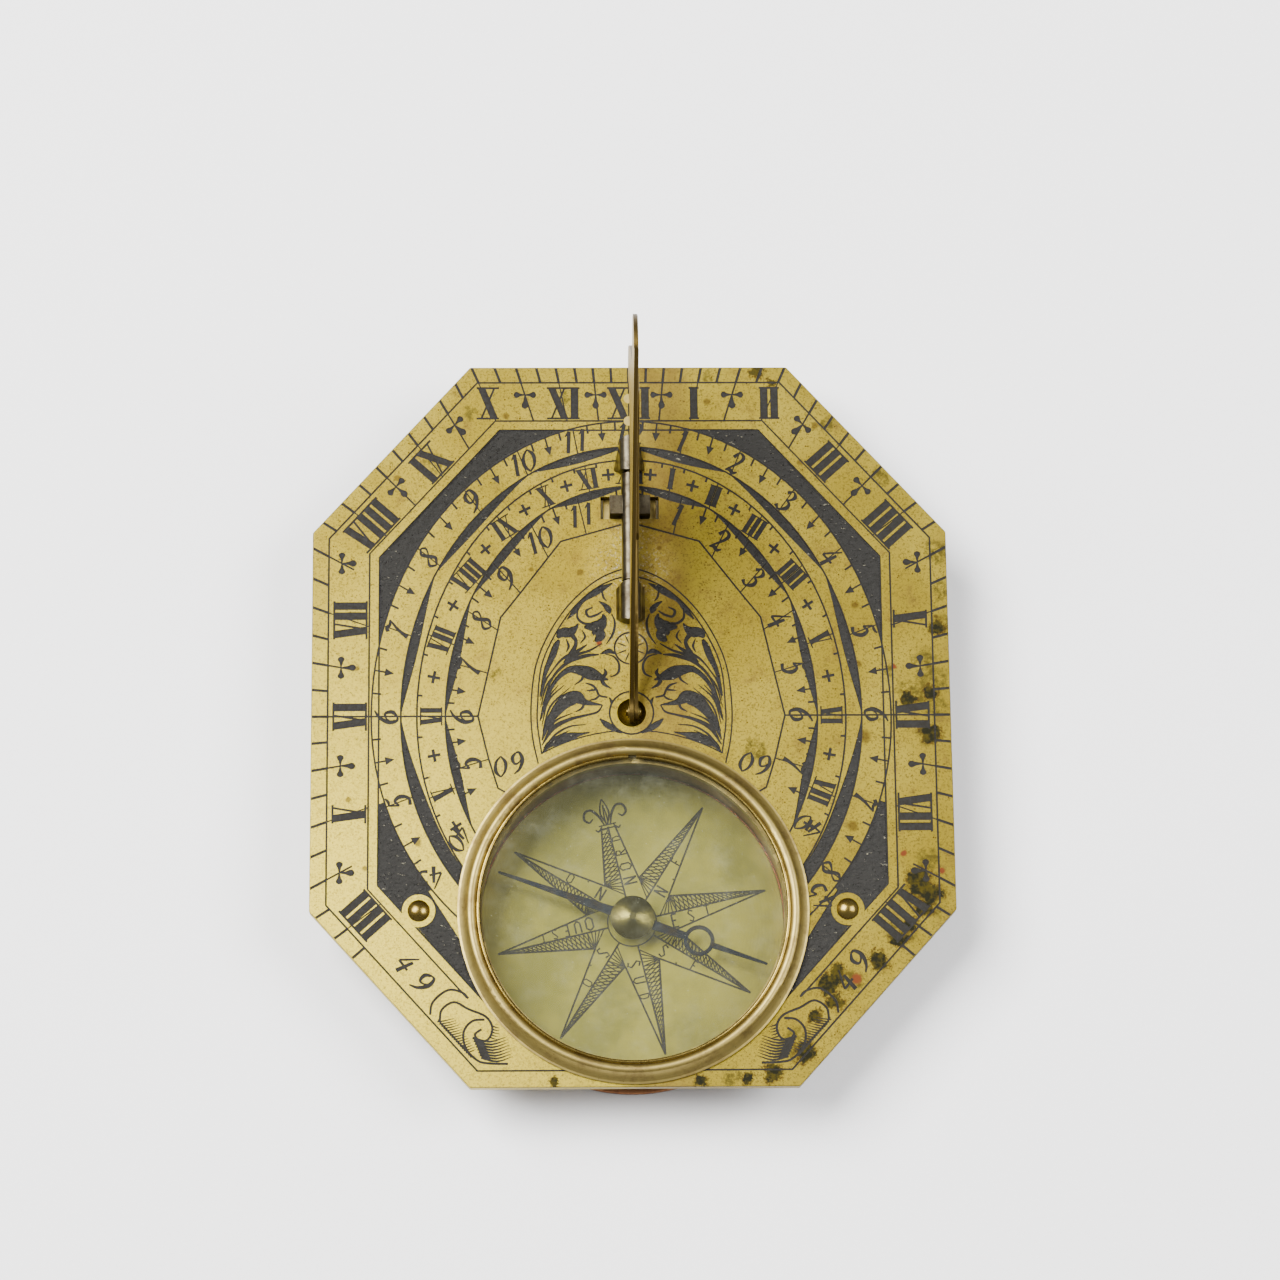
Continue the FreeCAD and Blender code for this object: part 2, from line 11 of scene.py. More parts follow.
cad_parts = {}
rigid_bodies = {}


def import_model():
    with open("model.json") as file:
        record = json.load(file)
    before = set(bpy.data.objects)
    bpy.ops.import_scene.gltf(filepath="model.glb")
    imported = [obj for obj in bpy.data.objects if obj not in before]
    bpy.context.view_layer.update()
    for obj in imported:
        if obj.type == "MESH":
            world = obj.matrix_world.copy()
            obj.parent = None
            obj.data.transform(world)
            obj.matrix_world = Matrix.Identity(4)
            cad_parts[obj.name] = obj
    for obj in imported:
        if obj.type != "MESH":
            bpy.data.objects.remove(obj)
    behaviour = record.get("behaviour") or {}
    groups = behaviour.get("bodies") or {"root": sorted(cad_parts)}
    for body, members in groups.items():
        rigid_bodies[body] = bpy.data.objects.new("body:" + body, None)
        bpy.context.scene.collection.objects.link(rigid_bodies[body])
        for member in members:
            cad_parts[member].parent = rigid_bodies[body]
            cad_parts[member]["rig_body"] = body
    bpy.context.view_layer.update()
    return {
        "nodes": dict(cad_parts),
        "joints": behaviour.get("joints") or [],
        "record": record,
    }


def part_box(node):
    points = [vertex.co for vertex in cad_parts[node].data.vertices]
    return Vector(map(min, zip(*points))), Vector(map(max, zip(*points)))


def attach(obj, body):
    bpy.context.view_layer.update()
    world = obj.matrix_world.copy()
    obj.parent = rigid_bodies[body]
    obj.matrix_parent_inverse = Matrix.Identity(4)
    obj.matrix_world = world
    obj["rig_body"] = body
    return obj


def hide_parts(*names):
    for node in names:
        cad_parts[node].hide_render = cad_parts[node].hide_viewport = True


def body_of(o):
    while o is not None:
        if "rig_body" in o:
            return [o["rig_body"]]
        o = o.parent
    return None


# A folding brass pocket sundial. The frame gives every size and place in metres;
# the engraving is drawn in millimetres on the plane of the face that carries it.
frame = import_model()
MM = 0.001

# ------------------------------------------------------- sizes from the frame
JOINTS = {joint["name"]: joint for joint in frame["joints"]}
PLATE_LOW, PLATE_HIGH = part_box("dial_plate")
DIAL_CENTRE = Vector((0, JOINTS["gnomon_fold"]["pos_m"][1], PLATE_HIGH.z))
STYLE_PIVOT = Vector(JOINTS["style_tilt"]["pos_m"])

# The plate from the dial centre, in millimetres, and how far its corners are cut.
HALF_WIDTH = PLATE_HIGH.x / MM
NORTH_EDGE = (PLATE_HIGH.y - DIAL_CENTRE.y) / MM
SOUTH_EDGE = (PLATE_LOW.y - DIAL_CENTRE.y) / MM
CHAMFER_ALONG_X = 15.85
CHAMFER_ALONG_Y = 17.6
COMPASS_CENTRE = Vector((0, -DIAL_CENTRE.y / MM))
PIN_RADIUS = 1.1
PIN = Vector((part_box("box_pins")[1].x / MM - PIN_RADIUS, COMPASS_CENTRE.y))

# --------------------------------------------------------- style of engraving
# Levels of the engraved face. A level is also the number of its material.
RAISED = 0
LINE = 1
GROUND = 2
DEPTH = {RAISED: 0.0, LINE: 0.06, GROUND: 0.1}

# Unevenness of the grounds and the spacing of the points that carry it.
GROUND_ROUGHNESS = 0.035
GROUND_SPACING = 0.32

# The bevel along a face's outline, and the plain margin beside it and round holes.
RIM = 0.06
MARGIN = 0.02

# Widths of cuts.
HAIR = 0.19
FINE = 0.14
TICK = 0.28

# Distances inwards from the edge of the plate.
TICK_BAND = 1.65
NUMERAL_LINE = 3.85
CHAPTER_LINE = 5.75
PANEL_LINE = 6.75

LATITUDES = {"edge": 49, "outer": 45, "middle": 40, "inner": 60}

random.seed(7)


# ------------------------------------------------------------------- geometry
def towards(bearing):
    """Unit vector at a bearing, degrees clockwise from the dial's north."""
    angle = math.radians(bearing)
    return Vector((math.sin(angle), math.cos(angle)))


def left_of(direction):
    return Vector((-direction.y, direction.x))


def vectors(points):
    return [Vector(point) for point in points]


def shrunk(loop, distance):
    """A counter-clockwise loop with every side moved inwards."""
    moved = []
    for before, here, after in zip(loop[-1:] + loop[:-1], loop, loop[1:] + loop[:1]):
        side = left_of((here - before).normalized())
        inward = (side + left_of((after - here).normalized())).normalized()
        moved.append(here + inward * (distance / max(inward.dot(side), 0.3)))
    return moved


def mirrored(loop):
    """The loop on the other side of the noon line, still counter-clockwise."""
    return [Vector((-point.x, point.y)) for point in reversed(loop)]


def placed(loop, centre, up):
    """A glyph drawn about the origin, moved to its centre with its top towards up."""
    right = Vector((up.y, -up.x))
    return [centre + right * point.x + up * point.y for point in loop]


def ribbon(points, widths):
    """Outline of a stroke that follows the points with the given widths."""
    left = []
    right = []
    last = len(points) - 1
    for index, point in enumerate(points):
        along = points[min(index + 1, last)] - points[max(index - 1, 0)]
        side = left_of(along.normalized()) * (widths[index] / 2)
        left.append(point + side)
        right.append(point - side)
    return right + left[::-1]


def smooth(knots, steps=5):
    """Catmull-Rom curve through knots of any dimension."""
    knots = vectors(knots)
    ends = [2 * knots[0] - knots[1]] + knots + [2 * knots[-1] - knots[-2]]
    curve = []
    for a, b, c, d in zip(ends, ends[1:], ends[2:], ends[3:]):
        for step in range(steps):
            t = step / steps
            square = 2 * a - 5 * b + 4 * c - d
            cube = 3 * b - a - 3 * c + d
            swing = (c - a) * t + square * t ** 2 + cube * t ** 3
            curve.append(b + swing / 2)
    return curve + [knots[-1]]


def stroke(knots, steps=5):
    """Outline of a smooth stroke through knots of (x, y, width)."""
    curve = smooth(knots, steps)
    return ribbon([knot.to_2d() for knot in curve], [knot.z for knot in curve])


def straight(start, end, width=HAIR):
    return ribbon([Vector(start), Vector(end)], [width, width])


def disc(centre, radius, sides=32):
    return [centre + towards(-360 * side / sides) * radius for side in range(sides)]


TEARDROP = ((0.0, 0.15), (0.45, 0.5), (0.7, 1.0), (0.88, 0.9), (1.0, 0.25))


def teardrop(start, direction, length, width):
    """Stroke that swells from a point to a round end."""
    points = [start + direction * (length * along) for along, _ in TEARDROP]
    return ribbon(points, [width * swell for _, swell in TEARDROP])


def arrow(start, direction, length, head_length, head_width):
    neck = start + direction * (length - head_length)
    side = left_of(direction) * (head_width / 2)
    return [straight(start, neck), [neck - side, start + direction * length, neck + side]]


class Drawing:
    """Engraving on one face: a later mark covers the marks under it."""

    def __init__(self):
        self.marks = []

    def add(self, level, *loops):
        self.marks.append((level, loops))

    def add_pair(self, level, *loops):
        """The mark and its mirror image."""
        self.add(level, *loops)
        self.add(level, *[mirrored(loop) for loop in loops])

    def line(self, points, width=HAIR):
        points = vectors(points)
        self.add(LINE, ribbon(points, [width] * len(points)))

    def ring(self, loop, width=HAIR):
        """Line along a closed counter-clockwise loop."""
        self.add(LINE, shrunk(loop, -width / 2), shrunk(loop, width / 2)[::-1])

    def write(self, glyphs, centre, up):
        for loop in glyphs:
            self.add(LINE, placed(loop, centre, up))


# --------------------------------------------------------------------- glyphs
ROMAN = ("XII", "I", "II", "III", "IIII", "V", "VI", "VII", "VIII", "IX", "X", "XI")
ROMAN_ADVANCE = {"I": 1.05, "V": 1.9, "X": 2.3}
ROMAN_HEIGHT = 3.25
ROMAN_THICK = 0.8
ROMAN_THIN = 0.22
ROMAN_GAP = 0.1

# Strokes of (x, y, width) in a digit one unit high that stands on y = 0.
DIGIT_STROKES = {
    "0": [
        [(0.02, 1, 0.05), (-0.2, 0.75, 0.09), (-0.25, 0.35, 0.13), (-0.04, 0, 0.05)],
        [(0.02, 1, 0.05), (0.24, 0.68, 0.13), (0.2, 0.25, 0.09), (-0.04, 0, 0.05)],
    ],
    "1": [
        [(-0.02, 0, 0.12), (0.04, 1, 0.12)],
        [(-0.14, 0.78, 0.04), (0.04, 1, 0.08)],
    ],
    "2": [
        [(-0.2, 0.7, 0.13), (-0.05, 0.98, 0.07), (0.2, 0.84, 0.12), (0.14, 0.54, 0.1), (-0.25, 0.02, 0.05)],
        [(-0.25, 0.03, 0.05), (-0.05, 0.09, 0.12), (0.12, 0, 0.12), (0.28, 0.1, 0.05)],
    ],
    "3": [
        [(-0.2, 0.82, 0.12), (0, 1, 0.06), (0.2, 0.82, 0.13), (0.12, 0.6, 0.07), (-0.04, 0.53, 0.05)],
        [(-0.04, 0.53, 0.05), (0.2, 0.43, 0.1), (0.24, 0.18, 0.14), (0, -0.02, 0.07), (-0.24, 0.12, 0.13)],
    ],
    "4": [
        [(0.12, 1, 0.05), (-0.1, 0.62, 0.07), (-0.28, 0.3, 0.07)],
        [(-0.28, 0.3, 0.08), (0.3, 0.3, 0.08)],
        [(0.12, 0.7, 0.1), (0.07, -0.08, 0.14)],
    ],
    "5": [
        [(0.28, 1.02, 0.05), (0.1, 0.95, 0.1), (-0.08, 0.97, 0.06)],
        [(-0.08, 0.97, 0.06), (-0.16, 0.55, 0.06)],
        [(-0.16, 0.55, 0.06), (0.08, 0.66, 0.1), (0.23, 0.38, 0.14), (0.1, 0.06, 0.1), (-0.22, 0.1, 0.12)],
    ],
    "6": [
        [(0.2, 1, 0.05), (-0.08, 0.8, 0.1), (-0.24, 0.4, 0.14), (-0.12, 0.04, 0.1), (0.06, 0, 0.06)],
        [(0.06, 0, 0.06), (0.24, 0.22, 0.13), (0.14, 0.52, 0.09), (-0.06, 0.5, 0.06), (-0.2, 0.32, 0.05)],
    ],
    "7": [
        [(-0.24, 0.88, 0.12), (-0.1, 1, 0.12), (0.06, 0.92, 0.1), (0.27, 1, 0.05)],
        [(0.27, 1, 0.05), (0.06, 0.5, 0.1), (-0.04, 0, 0.14)],
    ],
    "8": [
        [
            (0.18, 0.85, 0.08), (0, 1, 0.06), (-0.17, 0.82, 0.1), (0, 0.55, 0.13),
            (0.2, 0.25, 0.11), (0.02, 0, 0.06),
        ],
        [(0.02, 0, 0.06), (-0.22, 0.2, 0.1), (-0.1, 0.45, 0.06), (0.08, 0.62, 0.05), (0.18, 0.85, 0.07)],
    ],
}
DIGIT_STROKES["9"] = [[(-x, 1 - y, width) for x, y, width in knots] for knots in DIGIT_STROKES["6"]]
DIGIT_ADVANCE = 0.62
DIGIT_SLANT = 0.16
DIGIT_WEIGHT = 1.4

# Plain capitals for the compass directions: lines of (x, y) in a letter one unit high.
LETTER_LINES = {
    "N": [[(-0.22, 0), (-0.22, 1)], [(-0.22, 1), (0.22, 0)], [(0.22, 0), (0.22, 1)]],
    "E": [
        [(-0.18, 0), (-0.18, 1)],
        [(-0.18, 1), (0.2, 1)],
        [(-0.18, 0.52), (0.1, 0.52)],
        [(-0.18, 0), (0.22, 0)],
    ],
    "T": [[(0, 0), (0, 1)], [(-0.26, 1), (0.26, 1)]],
    "O": [[(0, 1), (-0.26, 0.8), (-0.26, 0.2), (0, 0)], [(0, 0), (0.26, 0.2), (0.26, 0.8), (0, 1)]],
    "D": [[(-0.2, 0), (-0.2, 1)], [(-0.2, 1), (0.16, 0.85), (0.24, 0.5), (0.16, 0.15), (-0.2, 0)]],
    "R": [
        [(-0.2, 0), (-0.2, 1)],
        [(-0.2, 1), (0.2, 0.9), (0.18, 0.6), (-0.2, 0.52)],
        [(-0.04, 0.52), (0.24, 0)],
    ],
    "U": [[(-0.24, 1), (-0.22, 0.2), (0, 0)], [(0, 0), (0.22, 0.2), (0.24, 1)]],
    "S": [
        [(0.2, 0.85), (-0.1, 0.98), (-0.2, 0.74), (0, 0.52)],
        [(0, 0.52), (0.2, 0.28), (0.08, 0.02), (-0.2, 0.12)],
    ],
    ".": [[(0, 0), (0, 0.12)]],
}
LETTER_ADVANCE = 0.72
LETTER_WEIGHT = 0.14


def slab(top_x, bottom_x, width):
    """Stem of a Roman numeral, level at its top and bottom."""
    half = ROMAN_HEIGHT / 2
    reach = width / 2
    bottom = [(bottom_x - reach, -half), (bottom_x + reach, -half)]
    return vectors([(top_x - reach, half)] + bottom + [(top_x + reach, half)])


def roman(text, height=ROMAN_HEIGHT):
    """Outlines of a Roman numeral with heavy stems and hairline serifs."""
    total = sum(ROMAN_ADVANCE[letter] for letter in text)
    x = -total / 2
    loops = []
    for letter in text:
        middle = x + ROMAN_ADVANCE[letter] / 2
        reach = ROMAN_ADVANCE[letter] / 2 - ROMAN_THICK / 2 - ROMAN_GAP
        if letter == "I":
            loops.append(slab(middle, middle, ROMAN_THICK))
        elif letter == "V":
            loops.append(slab(middle - reach, middle, ROMAN_THICK))
            loops.append(slab(middle + reach + 2 * ROMAN_GAP, middle + ROMAN_GAP, ROMAN_THIN))
        else:
            loops.append(slab(middle - reach, middle + reach, ROMAN_THICK))
            loops.append(slab(middle + reach, middle - reach, ROMAN_THIN))
        x += ROMAN_ADVANCE[letter]
    for side in (-1, 1):
        y = side * ROMAN_HEIGHT / 2
        loops.append(straight((-total / 2, y), (total / 2, y), ROMAN_THIN))
    scale = height / ROMAN_HEIGHT
    return [[point * scale for point in loop] for loop in loops]


def spaced(text, advance):
    """The characters, each with how far its middle is from the middle of the text."""
    return [(character, (place - (len(text) - 1) / 2) * advance) for place, character in enumerate(text)]


def digits(text, height):
    """Outlines of an italic Arabic number centred on the origin."""
    loops = []
    for digit, offset in spaced(text, DIGIT_ADVANCE):
        for knots in DIGIT_STROKES[digit]:
            level = [(x + offset, y - 0.5, width * DIGIT_WEIGHT) for x, y, width in knots]
            loop = stroke([(x + DIGIT_SLANT * y, y, width) for x, y, width in level])
            loops.append([point * height for point in loop])
    return loops


def letters(text, height):
    """Outlines of plain capitals centred on the origin."""
    loops = []
    for letter, offset in spaced(text, LETTER_ADVANCE):
        for points in LETTER_LINES[letter]:
            line = [Vector((x + offset, y - 0.5)) * height for x, y in points]
            loops.append(ribbon(line, [LETTER_WEIGHT * height] * len(line)))
    return loops


# -------------------------------------------------------- layout of the dial
def octagon(inset):
    """Corners of the plate's outline moved inwards, counter-clockwise from the south."""
    end = HALF_WIDTH - CHAMFER_ALONG_X
    corners = [
        (end, SOUTH_EDGE),
        (HALF_WIDTH, SOUTH_EDGE + CHAMFER_ALONG_Y),
        (HALF_WIDTH, NORTH_EDGE - CHAMFER_ALONG_Y),
        (end, NORTH_EDGE),
    ]
    west = [(-x, y) for x, y in reversed(corners)]
    return shrunk(vectors(corners + west), inset)


def crossing(bearing, corners):
    """Where a ray from the dial centre meets a counter-clockwise polygon, and the way out there."""
    ray = towards(bearing)
    for start, end in zip(corners, corners[1:] + corners[:1]):
        side = end - start
        turn = ray.cross(side)
        if turn <= 0:
            continue
        if 0 <= start.cross(ray) / turn <= 1:
            return ray * (start.cross(side) / turn), -left_of(side.normalized())
    raise ValueError(f"no edge at bearing {bearing}")


def on_edge(bearing, inset):
    return crossing(bearing, octagon(inset))


def hour_bearing(hour, latitude):
    """Bearing of the shadow at an hour counted from noon."""
    turn = math.radians(15 * hour)
    return math.degrees(math.atan2(math.sin(math.radians(latitude)) * math.sin(turn), math.cos(turn)))


def oval(half_width, north, south):
    """Radius of an oval about the dial centre, as a function of the bearing."""
    def radius(bearing):
        direction = towards(bearing)
        reach = north if direction.y > 0 else south
        return 1 / math.hypot(direction.x / half_width, direction.y / reach)
    return radius


# Corners of the innermost line, as bearing and radius from north to south.
INNER_KNOTS = (
    (0, 20.2), (21, 19.5), (40.5, 16.95), (52, 16.6), (90, 15.35), (107, 14.95), (119, 15.27), (180, 15),
)


def inner_corners():
    """The innermost line, counter-clockwise on both sides of noon."""
    east = [towards(bearing) * radius for bearing, radius in INNER_KNOTS]
    return east[::-1] + [Vector((-corner.x, corner.y)) for corner in east[1:-1]]


OUTER_RING = oval(26.0, 30.95, 27.5)
OUTER_CRESCENT = oval(23.05, 28.2, 26.0)
MIDDLE_RING = oval(21.45, 26.8, 24.9)
INNER_CRESCENT = oval(18.6, 24.0, 22.0)
INNER_CORNERS = inner_corners()


def inner_ring(bearing):
    return crossing(bearing, INNER_CORNERS)[0].length


def around(radius, start, end, step=2.0):
    """Points from one bearing to another at a radius given by a function."""
    count = max(2, round(abs(end - start) / step))
    bearings = [start + (end - start) * index / count for index in range(count + 1)]
    return [towards(bearing) * radius(bearing) for bearing in bearings]


def oval_loop(radius):
    return around(radius, 180, -180, 3.0)[:-1]


# The chapter of hours: its last quarter each side of noon, and where its inner line ends.
LAST_QUARTER = 33
CHAPTER_END = 150

# The half-hour mark: its middle and the foot of its short stem, from the plate's edge,
# the lengths of its side leaves and its point, and how far from noon its stem is long.
HALF_HOUR_INSET = 2.95
SHORT_STEM_INSET = 4.2
SIDE_LEAF = 1.15
POINT_LEAF = 1.5
LEAF_WIDTH = 0.7
LONG_STEM_BEARING = 60


def chapter_of_hours(drawing):
    """Quarter ticks, half-hour flourishes and Roman hours along the plate's edge."""
    latitude = LATITUDES["edge"]
    for inset in (TICK_BAND, PANEL_LINE):
        drawing.ring(octagon(inset))
    west, east = [on_edge(bearing, CHAPTER_LINE)[0] for bearing in (-CHAPTER_END, CHAPTER_END)]
    drawing.line([east] + octagon(CHAPTER_LINE)[1:7] + [west])
    for quarter in range(-LAST_QUARTER, LAST_QUARTER + 1):
        bearing = hour_bearing(quarter / 4, latitude)
        drawing.line([on_edge(bearing, 0)[0], on_edge(bearing, TICK_BAND)[0]], TICK)
        if quarter % 4 == 2:
            half_hour(drawing, bearing)
        if quarter % 4 == 0:
            roman_hour(drawing, quarter // 4, bearing)


def half_hour(drawing, bearing):
    centre, out = on_edge(bearing, HALF_HOUR_INSET)
    across = left_of(out)
    foot = CHAPTER_LINE if abs(bearing) < LONG_STEM_BEARING else SHORT_STEM_INSET
    drawing.line([on_edge(bearing, TICK_BAND)[0], on_edge(bearing, foot)[0]])
    for direction, length in ((across, SIDE_LEAF), (-across, SIDE_LEAF), (-out, POINT_LEAF)):
        drawing.add(LINE, teardrop(centre, direction, length, LEAF_WIDTH))


def roman_hour(drawing, hour, bearing):
    """Hour line and numeral; ten and two stand in corners of the plate, turned half way."""
    centre, out = on_edge(bearing, NUMERAL_LINE)
    if abs(hour) == 2:
        out = (out + Vector((0, 1))).normalized()
    drawing.line([on_edge(bearing, TICK_BAND)[0], on_edge(bearing, CHAPTER_LINE)[0]], FINE)
    drawing.write(roman(ROMAN[hour % 12]), centre, out)


# Inside the chapter of hours: heights of the numbers, width of the quarter ticks,
# length, head length and head width of the arrows, reach and width of the crosses.
ARABIC_HEIGHT = 2.3
SMALL_ROMAN_HEIGHT = 2.1
QUARTER_WIDTH = 0.22
ARROW = (2.0, 0.95, 0.85)
CROSS_REACH = 0.65
CROSS_WIDTH = 0.3


def latitude_ring(drawing, latitude, outer, inner, hours, draw_hour, draw_half, tick):
    """Hours, half-hours and quarters between two ovals, from the first hour to the last."""
    first, last = hours
    for quarter in range(round(4 * first), round(4 * last) + 1):
        bearing = hour_bearing(quarter / 4, latitude)
        out = towards(bearing)
        middle = out * ((outer(bearing) + inner(bearing)) / 2)
        edge = out * outer(bearing)
        if quarter % 4 == 0:
            draw_hour(drawing, quarter // 4, middle, out)
            drawing.line([edge, out * inner(bearing)], FINE)
        elif quarter % 2 == 0:
            draw_half(drawing, edge, middle, out)
        else:
            drawing.line([edge, edge - out * tick], QUARTER_WIDTH)


def arabic_hour(drawing, hour, middle, out):
    drawing.write(digits(str((hour - 1) % 12 + 1), ARABIC_HEIGHT), middle, out)


def small_roman_hour(drawing, hour, middle, out):
    drawing.write(roman(ROMAN[hour % 12], SMALL_ROMAN_HEIGHT), middle, out)


def arrow_half(drawing, edge, middle, out):
    for loop in arrow(edge, -out, *ARROW):
        drawing.add(LINE, loop)


def cross_half(drawing, edge, middle, out):
    for direction in (out, left_of(out)):
        drawing.line([middle - direction * CROSS_REACH, middle + direction * CROSS_REACH], CROSS_WIDTH)


def latitude_rings(drawing):
    """The three inner scales, the ovals between them and the six o'clock line."""
    for radius in (OUTER_RING, OUTER_CRESCENT, MIDDLE_RING, INNER_CRESCENT):
        drawing.ring(oval_loop(radius))
    drawing.ring(INNER_CORNERS)
    for name, outer, inner, hours, draw_hour, draw_half, tick in (
        ("outer", OUTER_RING, OUTER_CRESCENT, (-7.75, 8), arabic_hour, arrow_half, 0.9),
        ("middle", MIDDLE_RING, INNER_CRESCENT, (-7.5, 7.5), small_roman_hour, cross_half, 0.5),
        ("inner", INNER_CRESCENT, inner_ring, (-7.5, 7.5), arabic_hour, arrow_half, 0.9),
    ):
        latitude_ring(drawing, LATITUDES[name], outer, inner, hours, draw_hour, draw_half, tick)
    six = inner_ring(90)
    for side in (-1, 1):
        drawing.line([(side * HALF_WIDTH, 0), (side * six, 0)])


# Crescents: the oval that they hang from, their thickness and the bearings between them.
CRESCENTS = (
    (OUTER_CRESCENT, 1.0, (0, 21.5, 52.9, 90)),
    (INNER_CRESCENT, 0.9, (0, 20.5, 52.2, 90, 126)),
)

# The tail south of six o'clock: its full thickness, how many times faster than the bearing
# its swell turns, and where it ends.
TAIL_THICKNESS = 1.35
TAIL_RATE = 3.2
TAIL_END = 150


def crescents(drawing):
    """Dark crescents that swell and taper between the bearings of their nodes."""
    for radius, thickness, nodes in CRESCENTS:
        for start, end in zip(nodes, nodes[1:]):
            def inner(bearing):
                swell = math.sin(math.pi * (bearing - start) / (end - start))
                return radius(bearing) - thickness * swell
            drawing.add_pair(GROUND, around(radius, end, start) + around(inner, start, end)[1:-1])

    def widening(bearing):
        turn = math.radians(min(TAIL_RATE * (bearing - 90), 90))
        return OUTER_CRESCENT(bearing) - TAIL_THICKNESS * math.sin(turn)
    drawing.add_pair(GROUND, around(OUTER_CRESCENT, TAIL_END, 90) + around(widening, 90, TAIL_END)[1:])


def panel(start, end):
    """Dark corner between the panel line and the outer ring."""
    corners = octagon(PANEL_LINE)
    bearings = [math.degrees(math.atan2(corner.x, corner.y)) for corner in corners]
    inside = sorted((bearing, corner) for bearing, corner in zip(bearings, corners) if start < bearing < end)
    first, last = [on_edge(bearing, PANEL_LINE)[0] for bearing in (start, end)]
    outer = [first] + [corner for _, corner in inside] + [last]
    return outer[::-1] + around(OUTER_RING, start, end)


# Dark panels: their first and last bearings, the strip beside the compass, counter-clockwise,
# and the plain disc round each pin.
PANEL_SPANS = ((11.7, 73.2), (109.6, 131.5))
COMPASS_STRIP = ((13.5, -30.25), (12.5, -28.0), (16.5, -23.7), (21.0, -16.6), (23.5, -19.0))
PIN_LAND = 1.65


def dark_panels(drawing):
    for span in PANEL_SPANS:
        drawing.add_pair(GROUND, panel(*span))
    drawing.add_pair(GROUND, vectors(COMPASS_STRIP))
    drawing.add_pair(RAISED, disc(PIN, PIN_LAND))


# Latitude of each scale, by the compass: its height and the places of its two digits.
LABELS = (
    ("49", 2.3, (-22.3, -25.0), (-20.8, -27.0)),
    ("49", 2.3, (20.8, -27.0), (22.3, -25.0)),
    ("45", 2.1, (-19.5, -16.5), (-20.7, -16.8)),
    ("45", 2.1, (18.9, -19.2), (18.1, -18.0)),
    ("40", 2.0, (-16.9, -12.1), (-17.5, -13.0)),
    ("40", 2.0, (17.9, -11.9), (16.9, -11.0)),
    ("60", 2.1, (-11.4, -4.8), (-13.1, -5.2)),
    ("60", 2.1, (13.1, -5.2), (11.4, -4.8)),
)


def labels(drawing):
    for text, height, first, last in LABELS:
        first, last = Vector(first), Vector(last)
        up = left_of((last - first).normalized())
        for digit, centre in zip(text, (first, last)):
            drawing.write(digits(digit, height), centre, up)


# ---------------------------------------------------------- the arched panel
ARCH_LINE = [
    (-9.35, -4.9), (-9.9, -2.2), (-10.05, 1.0), (-9.6, 5.0), (-8.4, 8.2),
    (-6.5, 11.2), (-4.2, 13.5), (-2.2, 14.75), (0, 15.5),
]
ARCH_INNER = [
    (-9.0, -3.9), (-9.4, -1), (-9.4, 1), (-9.05, 4.9), (-7.9, 7.9),
    (-6.1, 10.8), (-4.0, 12.9), (-1.9, 14.1), (0, 14.6),
]
ARCH_WIDTH = 0.16

# The arch's foot follows the bezel. A boss of eight cuts and a ringed dimple stand on noon.
ARCH_FOOT_RADIUS = 18.3
BOSS = Vector((0, 7.0))
BOSS_RADIUS = 1.65
BOSS_CUTS = 8
BOSS_CUT = ((0.5, 0.08), (1.0, 0.16), (1.5, 0.05))
DIMPLE = Vector((0, 0.3))
DIMPLE_LAND = 2.15
DIMPLE_RADIUS = 2.2

# Dark grounds between the leaves of the west side, as knots of (x, y, width).
GROUND_WEIGHT = 1.3
LEAF_GROUNDS = [
    [
        (-8.9, -3.8, 0.1), (-8.3, -3.0, 0.5), (-7.2, -2.45, 0.8),
        (-6.0, -2.1, 0.65), (-5.2, -1.9, 0.3), (-4.2, -1.7, 0.1),
    ],
    [
        (-8.95, -2.5, 0.1), (-8.4, -0.9, 0.5), (-7.6, 0.4, 0.8), (-6.6, 1.5, 1.1),
        (-5.5, 1.9, 1.1), (-4.6, 1.4, 0.5), (-2.9, 1.1, 0.1),
    ],
    [
        (-9.15, -0.5, 0.1), (-8.6, 1.6, 0.25), (-7.6, 3.6, 0.35), (-6.3, 4.75, 0.5),
        (-5.0, 4.7, 0.85), (-3.9, 4.3, 1.0), (-2.3, 3.7, 0.1),
    ],
    [(-9.15, 2.0, 0.1), (-8.6, 4.5, 0.35), (-7.9, 6.2, 0.55), (-7.5, 7.3, 0.5), (-7.2, 7.9, 0.2)],
    [(-7.4, 8.1, 0.25), (-6.9, 8.6, 0.8), (-6.1, 8.7, 0.8), (-5.5, 9.2, 0.35), (-5.3, 9.6, 0.1)],
    [(-4.7, 9.2, 0.2), (-3.8, 9.25, 0.8), (-3.1, 9.4, 1.0), (-2.7, 10.1, 0.5), (-2.8, 10.6, 0.1)],
    [(-3.5, 9.0, 0.9), (-3.1, 8.3, 0.9), (-3.6, 7.7, 0.2)],
    [
        (-6.4, 10.0, 0.1), (-5.6, 10.9, 0.4), (-4.8, 11.9, 0.25),
        (-3.9, 12.6, 0.5), (-3.1, 13.1, 0.55), (-1.8, 13.8, 0.1),
    ],
    [(-3.2, 11.9, 0.1), (-2.6, 11.5, 0.35), (-2.2, 11.0, 0.5), (-2.1, 10.6, 0.1)],
    [(-3.0, 4.0, 0.35), (-2.75, 3.3, 0.3), (-2.0, 2.8, 0.08)],
    [(-2.2, 1.9, 0.1), (-1.9, 1.2, 0.3), (-2.0, 0.5, 0.1)],
    [(-3.2, -0.3, 0.1), (-2.5, -0.9, 0.5), (-1.7, -1.4, 0.4), (-1.0, -1.8, 0.1)],
    [(-3.1, 6.4, 0.1), (-2.2, 6.7, 0.4), (-1.6, 6.4, 0.1)],
]

